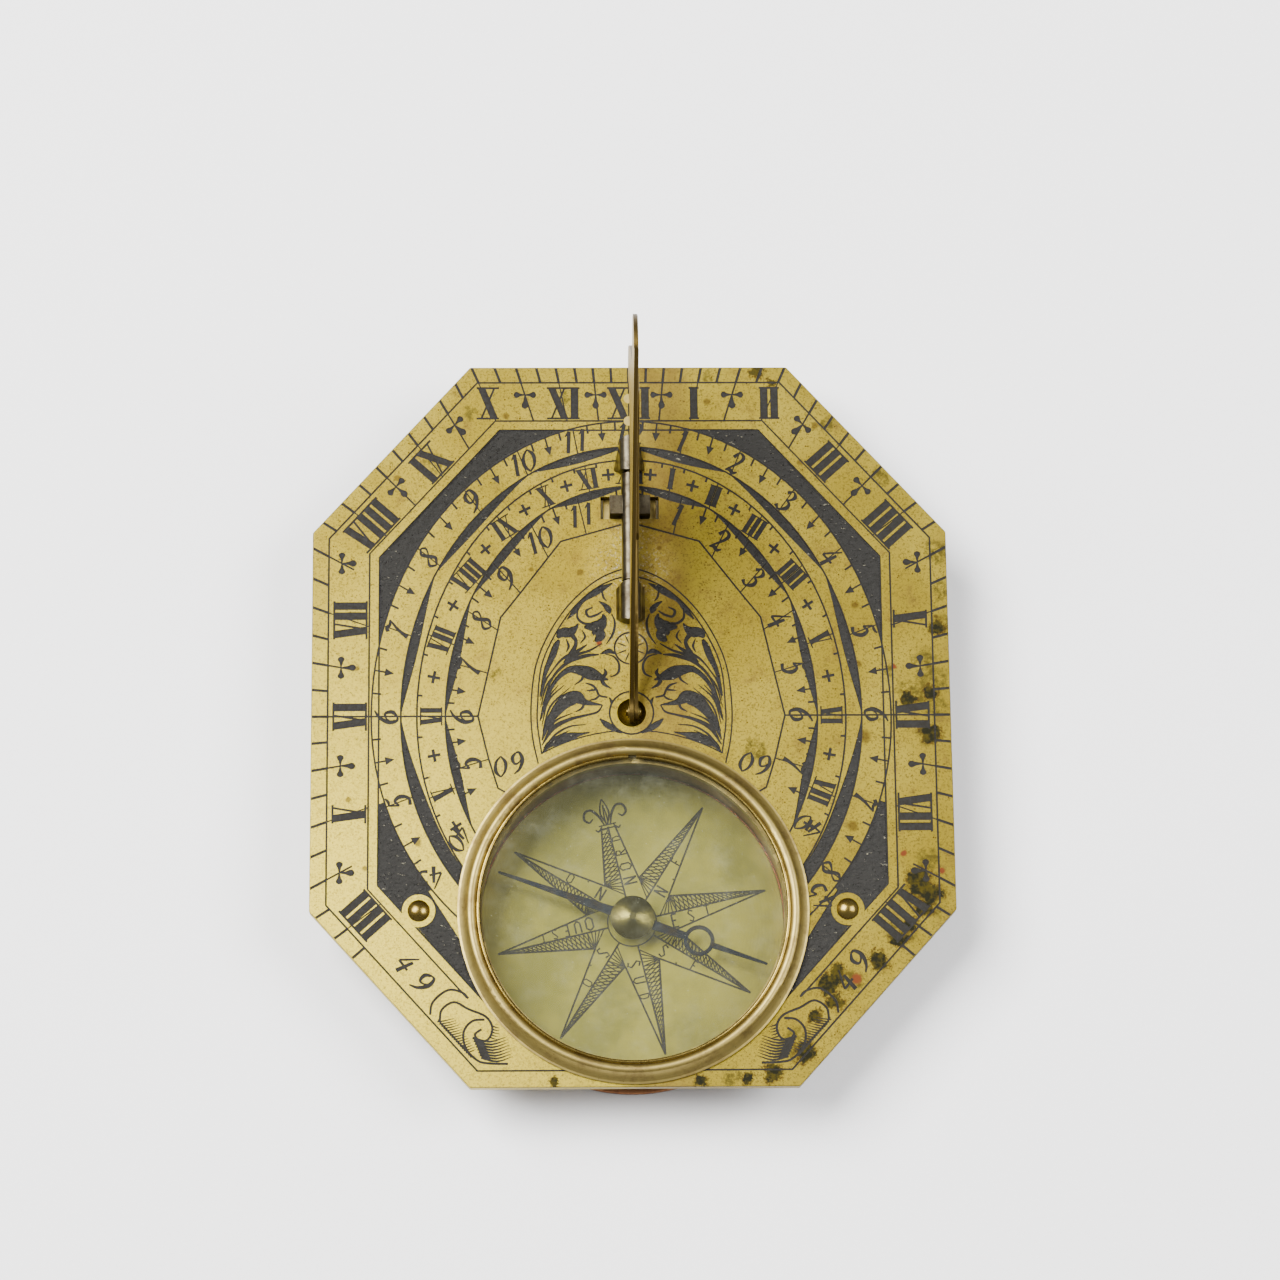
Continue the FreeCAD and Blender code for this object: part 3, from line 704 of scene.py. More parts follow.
# Veins, curls and the outlines of lobes.
VEIN_WEIGHT = 1.9
LEAF_LINES = [
    [
        (-8.95, -3.0, 0.06), (-7.9, -1.3, 0.26), (-6.3, -0.4, 0.2),
        (-4.6, 0.05, 0.13), (-3.4, 0.4, 0.12), (-2.9, 1.1, 0.06),
    ],
    [(-8.8, -3.3, 0.05), (-7.6, -1.9, 0.12), (-6.2, -1.1, 0.1), (-4.6, -0.9, 0.05)],
    [(-4.7, 1.4, 0.12), (-4.95, 0.8, 0.14), (-5.6, 0.4, 0.05)],
    [(-4.8, 4.2, 0.16), (-5.0, 3.7, 0.13), (-5.7, 3.2, 0.05)],
    [(-2.7, 4.9, 0.06), (-2.55, 4.4, 0.2), (-3.0, 3.9, 0.2)],
    [(-4.6, 3.4, 0.06), (-3.9, 3.15, 0.14), (-3.5, 2.7, 0.13), (-3.2, 2.1, 0.12), (-2.4, 1.9, 0.1)],
    [(-4.5, 2.6, 0.05), (-3.9, 2.65, 0.12), (-3.5, 2.7, 0.1)],
    [(-4.2, 1.6, 0.05), (-3.6, 1.75, 0.12), (-3.2, 2.1, 0.1)],
    [(-6.0, 8.5, 0.3), (-5.5, 7.6, 0.2), (-6.1, 6.3, 0.28), (-6.8, 5.5, 0.06)],
    [(-6.5, 8.0, 0.05), (-6.25, 7.2, 0.14), (-6.5, 6.6, 0.05)],
    [(-5.3, 11.2, 0.06), (-5.35, 10.2, 0.13), (-4.7, 9.6, 0.15), (-3.8, 9.6, 0.1)],
    [(-3.8, 11.3, 0.06), (-4.45, 10.9, 0.15), (-4.2, 10.3, 0.14), (-3.4, 10.5, 0.13), (-2.8, 10.9, 0.08)],
    [(-2.9, 13.4, 0.05), (-2.75, 12.4, 0.13), (-2.4, 11.9, 0.05)],
    [(-8.9, 1.2, 0.05), (-7.9, 3.9, 0.13), (-6.4, 5.5, 0.2), (-4.6, 6.2, 0.22), (-3.2, 6.35, 0.08)],
    [(-8.3, 4.2, 0.05), (-6.9, 5.9, 0.14), (-5.4, 6.7, 0.2), (-4.4, 7.4, 0.06)],
    [(-7.2, 5.0, 0.05), (-5.6, 6.25, 0.16), (-4.2, 6.75, 0.13), (-2.9, 7.5, 0.06)],
    [(-2.1, 4.0, 0.06), (-1.35, 4.4, 0.13), (-1.2, 5.3, 0.13), (-1.7, 6.1, 0.1), (-2.6, 6.4, 0.05)],
    [(-4.9, 8.9, 0.05), (-4.6, 8.2, 0.12), (-5.1, 7.5, 0.05)],
    [(-2.5, 7.4, 0.05), (-1.8, 8.5, 0.14), (-1.6, 9.7, 0.12), (-1.9, 10.6, 0.05)],
]

# Stems that fan out of the lower corner: the corner end, the bend and the leaf end.
STEM_ENDS = [
    ((-8.9, -1.6), (-8.1, 1.0), (-6.2, 2.9)),
    ((-8.95, -0.9), (-8.3, 1.6), (-6.7, 3.2)),
    ((-9.0, -0.3), (-8.5, 1.6), (-7.3, 3.2)),
    ((-8.8, -2.6), (-7.7, -0.6), (-5.9, 0.3)),
    ((-9.1, 0.9), (-8.5, 3.1), (-7.4, 4.6)),
    ((-9.1, 1.6), (-8.6, 3.6), (-7.7, 4.9)),
    ((-8.7, -3.4), (-7.5, -2.2), (-6.2, -1.5)),
]
STEM_WIDTHS = (0.08, 0.22, 0.08)


def both_sides(knots):
    """A curve through the knots and back down the other side of the noon line."""
    west = [knot.to_2d() for knot in smooth([(x, y, 0) for x, y in knots])]
    return west + [Vector((-point.x, point.y)) for point in reversed(west[:-1])]


def arch(drawing):
    """Leaf scrolls on a dark ground, under a pointed arch."""
    for outline in (ARCH_LINE, ARCH_INNER):
        drawing.line(both_sides(outline), ARCH_WIDTH)
    corner = Vector(ARCH_INNER[0]) - COMPASS_CENTRE
    reach = math.degrees(math.atan2(corner.x, corner.y))
    foot = [COMPASS_CENTRE + towards(reach * share / 8) * ARCH_FOOT_RADIUS for share in range(8, -9, -1)]
    drawing.line(foot, FINE)
    for level, weight, cuts in ((GROUND, GROUND_WEIGHT, LEAF_GROUNDS), (LINE, VEIN_WEIGHT, LEAF_LINES)):
        for knots in cuts:
            drawing.add_pair(level, stroke([(x, y, width * weight) for x, y, width in knots]))
    for places in STEM_ENDS:
        drawing.add_pair(LINE, stroke([(*place, width) for place, width in zip(places, STEM_WIDTHS)]))
    for step in range(BOSS_CUTS):
        out = towards(360 * (step + 0.5) / BOSS_CUTS)
        drawing.add(LINE, stroke([(*(BOSS + out * radius), width) for radius, width in BOSS_CUT]))
    drawing.ring(disc(BOSS, BOSS_RADIUS))
    drawing.add(RAISED, disc(DIMPLE, DIMPLE_LAND))
    drawing.ring(disc(DIMPLE, DIMPLE_RADIUS))


# ------------------------------------------------------------ the two volutes
VOLUTE_LINES = [
    [(-20.05, -30.2), (-19.75, -28.9), (-18.3, -27.75), (-16.9, -28.0), (-16.3, -28.6)],
    [
        (-19.1, -30.9), (-18.9, -29.7), (-17.7, -28.95), (-16.3, -29.65), (-14.6, -30.4),
        (-13.95, -31.5), (-14.3, -32.6), (-15.1, -32.85), (-15.65, -32.2), (-15.0, -31.65),
    ],
    [
        (-14.7, -30.7), (-15.9, -30.85), (-16.75, -31.9), (-16.55, -33.5),
        (-15.4, -34.75), (-14.2, -35.05), (-12.4, -35.1),
    ],
]
VOLUTE_WIDTH = 0.24

# Rows of hatching: count, first start and step to the next, run and its shortening,
# sag, width, and whether each cut is crossed by another.
HATCHES = (
    (8, (-15.9, -32.5), (0.12, -0.28), (3.4, 0.1), 0.04, 0.45, 0.26, False),
    (5, (-14.0, -31.3), (-0.06, -0.28), (0.8, -0.25), 0.0, 0.05, 0.17, False),
    (15, (-19.35, -30.9), (0.2, -0.22), (1.7, 0.35), 0.05, 0.05, 0.16, True),
)
CROSS_CUT = ((0.1, 0.25), (0.55, -0.5))
HATCH_TIP = 0.04


def volutes(drawing):
    """Scrolls in the two south corners, shaded by hatching."""
    for knots in VOLUTE_LINES:
        drawing.add_pair(LINE, stroke([(x, y, VOLUTE_WIDTH) for x, y in knots]))
    for count, first, step, run, shortening, sag, width, crossed in HATCHES:
        for row in range(count):
            start = Vector((first[0] + step[0] * row, first[1] + step[1] * row))
            shorter = Vector((run[0] - shortening * row, run[1]))
            drawing.add_pair(LINE, hatch(start, shorter, sag, width))
            if crossed:
                ends = [start + Vector(end) for end in CROSS_CUT]
                drawing.add_pair(LINE, straight(*ends, FINE))


def hatch(start, run, sag, width):
    """Cut that starts broad, sags and tapers out."""
    middle = start + run / 2 - Vector((0, sag))
    return stroke([(*start, width), (*middle, width * 0.8), (*(start + run), HATCH_TIP)], 3)


def dial_drawing():
    drawing = Drawing()
    chapter_of_hours(drawing)
    dark_panels(drawing)
    crescents(drawing)
    latitude_rings(drawing)
    labels(drawing)
    arch(drawing)
    volutes(drawing)
    return drawing


# ----------------------------------------------------------- the compass rose
ROSE_TURN = -13.4
ROSE_TIP = 13.8
ROSE_VALLEY = 4.57
ROSE_HUB = 2.45
ROSE_BAND = 10.1
ROSE_CUTS = 26
ROSE_CUT = 0.12
ROSE_SLANT = 0.12
ROSE_WORDS = ("NORD", "N.E", "EST", "S.E", "SUD", "S.O", "OUEST", "N.O")

# A word starts this far out, and its letters grow smaller and nearer the arm's middle.
WORD_START = 4.2
WORD_LENGTH = 6.0
WORD_SPACING = 1.7
WORD_OFFSET = (0.85, 0.07)
WORD_HEIGHT = (1.35, 0.09)


def compass_drawing():
    drawing = Drawing()
    for arm, word in enumerate(ROSE_WORDS):
        rose_arm(drawing, ROSE_TURN + 45 * arm, word, ROSE_TIP if arm else ROSE_BAND)
    fleur(drawing, towards(ROSE_TURN))
    drawing.ring(disc(Vector((0, 0)), ROSE_HUB), FINE)
    return drawing


def rose_arm(drawing, bearing, word, end):
    """One kite of the rose, as far as the end: half hatched, half with its direction's name."""
    out = towards(bearing)
    right = Vector((out.y, -out.x))
    tip = out * ROSE_TIP
    valleys = [towards(bearing + side * 22.5) * ROSE_VALLEY for side in (-1, 1)]
    widest = valleys[0].dot(out)
    reach = (end - widest) / (ROSE_TIP - widest)
    for valley in valleys:
        drawing.line([valley, valley.lerp(tip, reach)], HAIR)
    drawing.line([out * ROSE_HUB, out * end], HAIR)
    for step in range(1, ROSE_CUTS):
        along = ROSE_HUB + (ROSE_TIP - ROSE_HUB) * step / ROSE_CUTS
        if along > end:
            break
        share = min(1.0, (ROSE_TIP - along) / (ROSE_TIP - widest))
        for slant in (0, ROSE_SLANT):
            drawing.line([out * along, tip.lerp(valleys[0], min(1.0, share + slant))], ROSE_CUT)
    spacing = min(WORD_SPACING, WORD_LENGTH / len(word))
    for place, letter in enumerate(word):
        run = spacing * place
        centre = out * (WORD_START + run) + right * (WORD_OFFSET[0] - WORD_OFFSET[1] * run)
        drawing.write(letters(letter, WORD_HEIGHT[0] - WORD_HEIGHT[1] * run), centre, -right)


# Petals of the fleur-de-lis on one side, and its band.
PETALS = (
    ((0, 0.2, 0.12), (0.42, 1.3, 0.16), (0.3, 2.2, 0.12), (0, 2.9, 0.1)),
    ((0.1, 0.2, 0.12), (0.12, 1.2, 0.12), (0, 2.3, 0.1)),
    (
        (0.3, 0.2, 0.12), (0.7, 1.3, 0.2), (1.3, 2.0, 0.2), (1.95, 1.9, 0.2),
        (2.15, 1.2, 0.2), (1.7, 0.8, 0.16), (1.3, 1.1, 0.1),
    ),
    ((0.6, 0.1, 0.1), (1.0, -0.3, 0.16), (1.3, -0.1, 0.1)),
)
PETAL_WEIGHT = 1.3
BAND_HALF_WIDTH = 0.9
BAND_HEIGHTS = (-0.15, 0.2)


def fleur(drawing, out):
    """Fleur-de-lis standing on the band that ends the north arm."""
    centre = out * ROSE_BAND
    for knots in PETALS:
        for side in (-1, 1):
            loop = stroke([(side * x, y, PETAL_WEIGHT * width) for x, y, width in knots])
            drawing.add(LINE, placed(loop, centre, out))
    for height in BAND_HEIGHTS:
        band = straight((-BAND_HALF_WIDTH, height), (BAND_HALF_WIDTH, height), FINE)
        drawing.add(LINE, placed(band, centre, out))


# ------------------------------------------------- the style's latitude scale
def below_edge(radius, degrees):
    """Point of the style, from its pivot: X along the upper edge, Y above it."""
    angle = math.radians(degrees)
    return Vector((radius * math.cos(angle), -radius * math.sin(angle)))


# The bird's beak lies at this angle below the upper edge, plus the latitude it points to.
BIRD_ANGLE = 27.9
SCALE_LATITUDES = range(40, 61)
SCALE_ARC = [10 + 25 * share / 24 for share in range(25)]
SCALE_INNER = 33.2
SCALE_OUTER = 35.8
LONG_MARK = 1.2
SHORT_MARK = 0.8
SCALE_DIGITS = 1.0
DIGIT_RADIUS = SCALE_INNER + 0.65
EDGE_CUT = ((3.0, -0.45), (38.5, -0.45))


def style_drawing():
    """The latitude scale and a cut along the upper edge."""
    drawing = Drawing()
    for radius in (SCALE_INNER, SCALE_OUTER):
        drawing.line([below_edge(radius, angle) for angle in SCALE_ARC], FINE)
    for latitude in SCALE_LATITUDES:
        angle = latitude - BIRD_ANGLE
        numbered = latitude % 5 == 0
        reach = LONG_MARK if numbered else SHORT_MARK
        drawing.line([below_edge(SCALE_OUTER, angle), below_edge(SCALE_OUTER - reach, angle)], FINE)
        if numbered:
            along = below_edge(1, angle)
            drawing.write(digits(str(latitude), SCALE_DIGITS), along * DIGIT_RADIUS, along)
    drawing.line(EDGE_CUT, FINE)
    return drawing


# The bird on the foot: its eye, its wing and leg, and rows of feather cuts as count,
# first start, step to the next and run.
EYE = Vector((28.0, 16.7))
EYE_RADIUS = 0.26
EYE_SIDES = 14
WING_WIDTH = 0.1
WING_CUTS = (
    ((25.6, 14.8), (23.4, 12.2), (20.4, 11.0), (17.6, 10.9)),
    ((26.2, 13.6), (24.2, 11.3), (21.6, 10.1)),
    ((22.0, 4.8), (22.0, 7.0), (22.6, 8.6)),
)
FEATHERS = (
    (6, (16.2, 11.0), (1.3, 0.22), (1.0, 0.5)),
    (5, (26.2, 12.0), (0.35, 0.75), (-0.5, 0.4)),
)


def foot_drawing():
    """Eye, wing and feather cuts of the index bird."""
    drawing = Drawing()
    drawing.ring(disc(EYE, EYE_RADIUS, EYE_SIDES), FINE)
    for knots in WING_CUTS:
        drawing.add(LINE, stroke([(x, y, WING_WIDTH) for x, y in knots]))
    for count, first, step, run in FEATHERS:
        for row in range(count):
            start = Vector((first[0] + step[0] * row, first[1] + step[1] * row))
            drawing.add(LINE, straight(start, start + Vector(run), FINE))
    return drawing


# -------------------------------------------------------------- the engraver
# Vertices closer than this are one, in metres, and a face this flat lies in the plane, in millimetres.
WELD = 1e-7
IN_PLANE = 1e-3
CDT_EPSILON = 1e-5
SHARP_ANGLE = math.radians(35)


def winding(points, loops):
    """How often the loops wind round each point."""
    x, y = points[:, 0], points[:, 1]
    turns = np.zeros(len(points), int)
    for loop in loops:
        for start, end in zip(loop, loop[1:] + loop[:1]):
            side = (end.x - start.x) * (y - start.y) - (x - start.x) * (end.y - start.y)
            turns += (start.y <= y) & (end.y > y) & (side > 0)
            turns -= (start.y > y) & (end.y <= y) & (side < 0)
    return turns


def levels_at(points, marks):
    """Level at each point, which the last mark that holds it decides."""
    levels = np.zeros(len(points), int)
    for level, loops in marks:
        corners = np.array([point for loop in loops for point in loop])
        near = np.all((points >= corners.min(0)) & (points <= corners.max(0)), axis=1)
        near = np.flatnonzero(near)
        if near.size:
            levels[near[winding(points[near], loops) != 0]] = level
    return levels


def face_loops(faces):
    """Boundary loops of a list of faces, the widest first."""
    inside = set(faces)
    following = {}
    for face in faces:
        for loop in face.loops:
            other = [link for link in loop.edge.link_faces if link is not face]
            if not other or other[0] not in inside:
                following[loop.vert] = loop.link_loop_next.vert
    loops = []
    while following:
        first, here = following.popitem()
        chain = [first]
        while here is not first:
            chain.append(here)
            here = following.pop(here)
        loops.append(chain)
    return sorted(loops, key=extent, reverse=True)


def extent(chain):
    """Mostly the loop's width, so the outline leads; equal holes go by their distances."""
    xs = [vert.co.x for vert in chain]
    return sum(vert.co.xy.length for vert in chain) + 1e3 * (max(xs) - min(xs))


def counter_clockwise(loop):
    twice_area = sum(a.cross(b) for a, b in zip(loop, loop[1:] + loop[:1]))
    return loop if twice_area > 0 else loop[::-1]


def grid_points(loop, spacing):
    """Seeded, jittered points over the loop's extent."""
    xs = [point.x for point in loop]
    ys = [point.y for point in loop]
    points = []
    for row in range(round((max(ys) - min(ys)) / spacing)):
        for column in range(round((max(xs) - min(xs)) / spacing)):
            x = min(xs) + (column + random.uniform(0.1, 0.9)) * spacing
            y = min(ys) + (row + random.uniform(0.1, 0.9)) * spacing
            points.append((x, y))
    return np.array(points)


def engrave(name, node, plane, drawing, materials):
    """Piece that stands for a CAD node, with the drawing cut into its face on the plane.

    The plane maps drawing coordinates in millimetres to the frame, and the materials are
    those of the levels RAISED, LINE and GROUND. Everything but that face keeps the CAD
    shape, apart from a narrow bevel along the face's outer edge.
    """
    shell, outline, holes = opened_shell(node, plane)
    rim = shrunk(outline, RIM)
    margins = [(RAISED, (rim, shrunk(rim, MARGIN)[::-1]))]
    margins += [(RAISED, (shrunk(hole, -MARGIN), hole[::-1])) for hole in holes]
    marks = drawing.marks + margins
    triangles, points = triangulate(rim, holes, marks)
    centres = points[triangles].mean(axis=1)
    kept = winding(centres, [rim] + [hole[::-1] for hole in holes]) == 1
    triangles = triangles[kept]
    levels = levels_at(centres[kept], marks)

    verts = [vert.co.copy() for vert in shell.verts]
    shell.verts.index_update()
    faces = [[vert.index for vert in face.verts] for face in shell.faces]
    kinds = [RAISED] * len(faces)
    add_surface(verts, faces, kinds, points, triangles, levels)
    add_bevel(verts, faces, kinds, rim, outline)
    shell.free()

    mesh = bpy.data.meshes.new(name)
    mesh.from_pydata([plane @ vert for vert in verts], [], faces)
    mesh.polygons.foreach_set("material_index", kinds)
    mesh.polygons.foreach_set("use_smooth", [kind != GROUND for kind in kinds])
    for material in materials:
        mesh.materials.append(material)
    return stand_in(name, welded(mesh), node)


def opened_shell(node, plane):
    """The node's mesh without its face on the plane, and that face's outline and holes."""
    shell = bmesh.new()
    shell.from_mesh(frame["nodes"][node].data)
    bmesh.ops.remove_doubles(shell, verts=shell.verts, dist=WELD)
    shell.transform(plane.inverted())
    shell.normal_update()
    upward = [face for face in shell.faces if face.normal.z > 0.99]
    top_faces = [face for face in upward if all(abs(vert.co.z) < IN_PLANE for vert in face.verts)]
    chains = face_loops(top_faces)
    outline, *holes = [counter_clockwise([vert.co.xy.copy() for vert in chain]) for chain in chains]
    for vert in chains[0]:
        vert.co.z = -RIM
    bmesh.ops.delete(shell, geom=top_faces, context="FACES")
    return shell, outline, holes


def triangulate(rim, holes, marks):
    """Triangles and points of the face, with every mark's outline among their edges."""
    loops = [rim] + holes + [loop for _, outlines in marks for loop in outlines]
    points = []
    edges = []
    for loop in loops:
        first = len(points)
        points.extend(point.to_2d() for point in loop)
        edges.extend((first + side, first + (side + 1) % len(loop)) for side in range(len(loop)))
    loose = grid_points(rim, GROUND_SPACING)
    in_ground = loose[levels_at(loose, marks) == GROUND]
    points.extend(Vector(point) for point in in_ground)
    result = delaunay_2d_cdt(points, edges, [], 0, CDT_EPSILON)
    return np.array(result[2]), np.array([tuple(point) for point in result[0]])


def add_surface(verts, faces, kinds, points, triangles, levels):
    """The triangles at their levels, and the walls between different levels."""
    made = {}

    def corner(point, level):
        if (point, level) not in made:
            depth = DEPTH[level]
            if level == GROUND:
                depth += random.uniform(-GROUND_ROUGHNESS, GROUND_ROUGHNESS)
            made[point, level] = len(verts)
            verts.append(Vector((*points[point], -depth)))
        return made[point, level]

    side_level = {}
    for triangle, level in zip(triangles.tolist(), levels.tolist()):
        faces.append([corner(point, level) for point in triangle])
        kinds.append(level)
        for start, end in zip(triangle, triangle[1:] + triangle[:1]):
            side_level[start, end] = level
    for (start, end), level in side_level.items():
        lower = side_level.get((end, start), level)
        if lower > level:
            wall = [(start, level), (start, lower), (end, lower), (end, level)]
            faces.append([corner(*key) for key in wall])
            kinds.append(LINE)


def add_bevel(verts, faces, kinds, rim, outline):
    """Sloping faces from the flat face's rim down to the shell's outline."""
    first = len(verts)
    count = len(rim)
    verts.extend(Vector((*point, 0)) for point in rim)
    verts.extend(Vector((*point, -RIM)) for point in outline)
    for index in range(count):
        after = (index + 1) % count
        faces.append([first + index, first + count + index, first + count + after, first + after])
        kinds.append(RAISED)


def welded(mesh):
    solid = bmesh.new()
    solid.from_mesh(mesh)
    bmesh.ops.remove_doubles(solid, verts=solid.verts, dist=WELD)
    solid.to_mesh(mesh)
    solid.free()
    mesh.set_sharp_from_angle(angle=SHARP_ANGLE)
    return mesh


# ---------------------------------------------------------- pieces that stand in
def record_slot(node):
    """The record's material slot of a CAD node."""
    return next(part["material_slot"] for part in frame["record"]["subparts"] if part["node"] == node)


def linked(name, data):
    piece = bpy.data.objects.new(name, data)
    bpy.context.scene.collection.objects.link(piece)
    return piece


def stand_in(name, mesh, node):
    """A piece that replaces a CAD node and takes over its body."""
    piece = linked(name, mesh)
    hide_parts(node)
    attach(piece, body_of(frame["nodes"][node])[0])
    return piece


FLAT_ANGLE = math.radians(1)
BEVEL_ANGLE = math.radians(40)
BEVEL_SEGMENTS = 2


def softened(name, node, width, material):
    """Copy of a hard-edged CAD node with its edges rounded off."""
    source = bmesh.new()
    source.from_mesh(frame["nodes"][node].data)
    bmesh.ops.remove_doubles(source, verts=source.verts, dist=WELD)
    bmesh.ops.dissolve_limit(source, angle_limit=FLAT_ANGLE, verts=source.verts, edges=source.edges)
    source.verts.index_update()
    corners = [vert.co.copy() for vert in source.verts]
    faces = [[vert.index for vert in face.verts] for face in source.faces]
    source.free()
    mesh = bpy.data.meshes.new(name)
    mesh.from_pydata(corners, [], faces)
    mesh.materials.append(material)
    mesh.polygons.foreach_set("use_smooth", [True] * len(mesh.polygons))
    mesh.set_sharp_from_angle(angle=SHARP_ANGLE)
    piece = stand_in(name, mesh, node)
    bevel = piece.modifiers.new("worn_edges", "BEVEL")
    bevel.width = width * MM
    bevel.segments = BEVEL_SEGMENTS
    bevel.limit_method = "ANGLE"
    bevel.angle_limit = BEVEL_ANGLE


# ------------------------------------------------------------------ materials
class Surface:
    """A Principled material and the nodes that feed it, placed by the object in millimetres."""

    def __init__(self, name):
        self.material = bpy.data.materials.new(name)
        self.material.use_nodes = True
        self.tree = self.material.node_tree
        self.shader = self.tree.nodes["Principled BSDF"]
        place = self.add("TexCoord").outputs["Object"]
        self.place = self.add("VectorMath", {0: place, "Scale": 1 / MM}, operation="SCALE").outputs[0]

    def plug(self, socket, value):
        if isinstance(value, bpy.types.NodeSocket):
            self.tree.links.new(value, socket)
        else:
            socket.default_value = value

    def add(self, kind, inputs=None, **settings):
        """New node with its settings, and its inputs linked or set by name or number."""
        node = self.tree.nodes.new("ShaderNode" + kind)
        for key, value in settings.items():
            setattr(node, key, value)
        for key, value in (inputs or {}).items():
            self.plug(node.inputs[key], value)
        return node

    def finish(self, colour, roughness, height, depth, **others):
        """The material, with relief of a depth in millimetres where the height goes from 0 to 1.

        The others are more of the shader's sockets, underscores standing for spaces.
        """
        normal = self.add("Bump", {"Distance": depth * MM, "Height": height}).outputs[0]
        for key, value in {"Base_Color": colour, "Roughness": roughness, "Normal": normal, **others}.items():
            self.plug(self.shader.inputs[key.replace("_", " ")], value)
        return self.material

    def math(self, operation, first, second=0.0, clamp=False):
        return self.add("Math", {0: first, 1: second}, operation=operation, use_clamp=clamp).outputs[0]

    def scaled(self, value, factor, offset):
        """The value times the factor, plus the offset."""
        return self.math("ADD", self.math("MULTIPLY", value, factor), offset)

    def noise(self, size, detail=4.0, roughness=0.6, stretch=(1, 1, 1)):
        """Noise whose blotches are about the given size in millimetres."""
        place = self.add("Mapping", {"Vector": self.place, "Scale": stretch}).outputs[0]
        inputs = {"Vector": place, "Scale": 1 / size, "Detail": detail, "Roughness": roughness}
        return self.add("TexNoise", inputs).outputs["Fac"]

    def cells(self, size):
        """Distance to the nearest of scattered points about the given size apart."""
        return self.add("TexVoronoi", {"Vector": self.place, "Scale": 1 / size}).outputs["Distance"]

    def between(self, value, low, high):
        """The value's rise from low to high as 0 to 1; low above high gives a fall."""
        falling = low > high
        inputs = {
            "Value": value,
            "From Min": min(low, high),
            "From Max": max(low, high),
            "To Min": float(falling),
            "To Max": float(not falling),
        }
        return self.add("MapRange", inputs, interpolation_type="SMOOTHSTEP").outputs["Result"]

    def mix(self, share, first, second):
        """Colour between two others, either of which may be a plain tuple."""
        first, second = [(*tone, 1.0) if isinstance(tone, tuple) else tone for tone in (first, second)]
        return self.add("Mix", {0: share, 6: first, 7: second}, data_type="RGBA").outputs[2]

    def cover(self, tone, colour, first, second):
        """The tone under a colour that is as dense as the product of two shares."""
        return self.mix(self.math("MULTIPLY", first, second), tone, colour)

    def warped(self, size, amount):
        """The place pushed about in X and Y by noise, for ragged outlines."""
        inputs = {"Vector": self.place, "Scale": 1 / size, "Detail": 8.0, "Roughness": 0.65}
        noise = self.add("TexNoise", inputs).outputs["Color"]
        reach = {0: noise, 1: (2 * amount, 2 * amount, 0), 2: self.place}
        pushed = self.add("VectorMath", reach, operation="MULTIPLY_ADD").outputs[0]
        return self.add("VectorMath", {0: pushed, 1: (amount, amount, 0)}, operation="SUBTRACT").outputs[0]

    def spots(self, places, where, edge=0.5):
        """1 inside spots given as (x, y, radius) in the frame, with a soft edge."""
        total = 0.0
        for x, y, radius in places:
            ends = {0: where, 1: (x, y, PLATE_HIGH.z / MM)}
            gap = self.add("VectorMath", ends, operation="DISTANCE").outputs["Value"]
            share = self.between(gap, radius * (1 + edge / 2), radius * (1 - edge))
            total = self.math("MAXIMUM", total, share)
        return total

    def x_of(self, vector):
        return self.add("SeparateXYZ", {0: vector}).outputs["X"]

    def across(self, centre, half_width, edge):
        """1 within a band of the frame's X, falling to 0 over the edge, in millimetres."""
        away = self.math("ABSOLUTE", self.math("SUBTRACT", self.x_of(self.place), centre))
        return self.between(away, half_width + edge, half_width)

    def facing_sideways(self):
        """1 on faces that look east or west, 0 on the others."""
        normal = self.add("TexCoord").outputs["Normal"]
        return self.between(self.math("ABSOLUTE", self.x_of(normal)), 0.6, 0.9)

    def turned(self, pitch):
        """Uneven rings about the compass centre, as a lathe leaves them."""
        inputs = {"Vector": self.place, "Scale": 1 / pitch, "Distortion": 3.0, "Detail": 4.0}
        return self.add("TexWave", inputs, wave_type="RINGS", rings_direction="Z").outputs["Fac"]


def on_dial(places):
    """Spots given from the dial centre, moved into the frame."""
    return [(x, y + DIAL_CENTRE.y / MM, radius) for x, y, radius in places]


# The dial's colours.
BRASS = (0.155, 0.115, 0.012)
PALE_BRASS = (0.205, 0.157, 0.019)
DULL_BRASS = (0.065, 0.047, 0.01)
# Tarnish, also used for the painted shade in a band beside the gnomon.
TARNISH_AND_SHADE = (0.075, 0.045, 0.014)
# Paler brass for a painted sheen over the south-west of the dial.
PAINTED_SHEEN = (0.38, 0.3, 0.038)
RESIDUE = (0.3, 0.285, 0.22)
BROWN = (0.04, 0.022, 0.006)
OLIVE = (0.055, 0.043, 0.008)
GREEN_BLACK = (0.016, 0.016, 0.009)
RUST = (0.1, 0.028, 0.01)

# Pale, middle and dull brass of the gnomon, and the painted shade of its edges.
BLADE_TONES = ((0.3, 0.22, 0.045), (0.2, 0.14, 0.027), (0.1, 0.062, 0.015))
BLADE_EDGE_SHADE = (0.07, 0.047, 0.013)

# Pairs of colours, where the noise is low and where it is high, and others.
LINE_TONES = ((0.001, 0.001, 0.001), (0.012, 0.010, 0.006))
GROUND_TONES = ((0.004, 0.004, 0.0035), (0.034, 0.032, 0.028))
BARE_METAL = (0.3, 0.28, 0.2)
CARD_TONES = ((0.098, 0.092, 0.012), (0.145, 0.132, 0.018))
CARD_SHADED = (0.05, 0.052, 0.012)
CARD_SPECK = (0.06, 0.045, 0.01)
GLASS_DUST = (0.36, 0.37, 0.27, 1.0)
PAPER_TONES = ((0.76, 0.755, 0.76), (0.80, 0.795, 0.80))
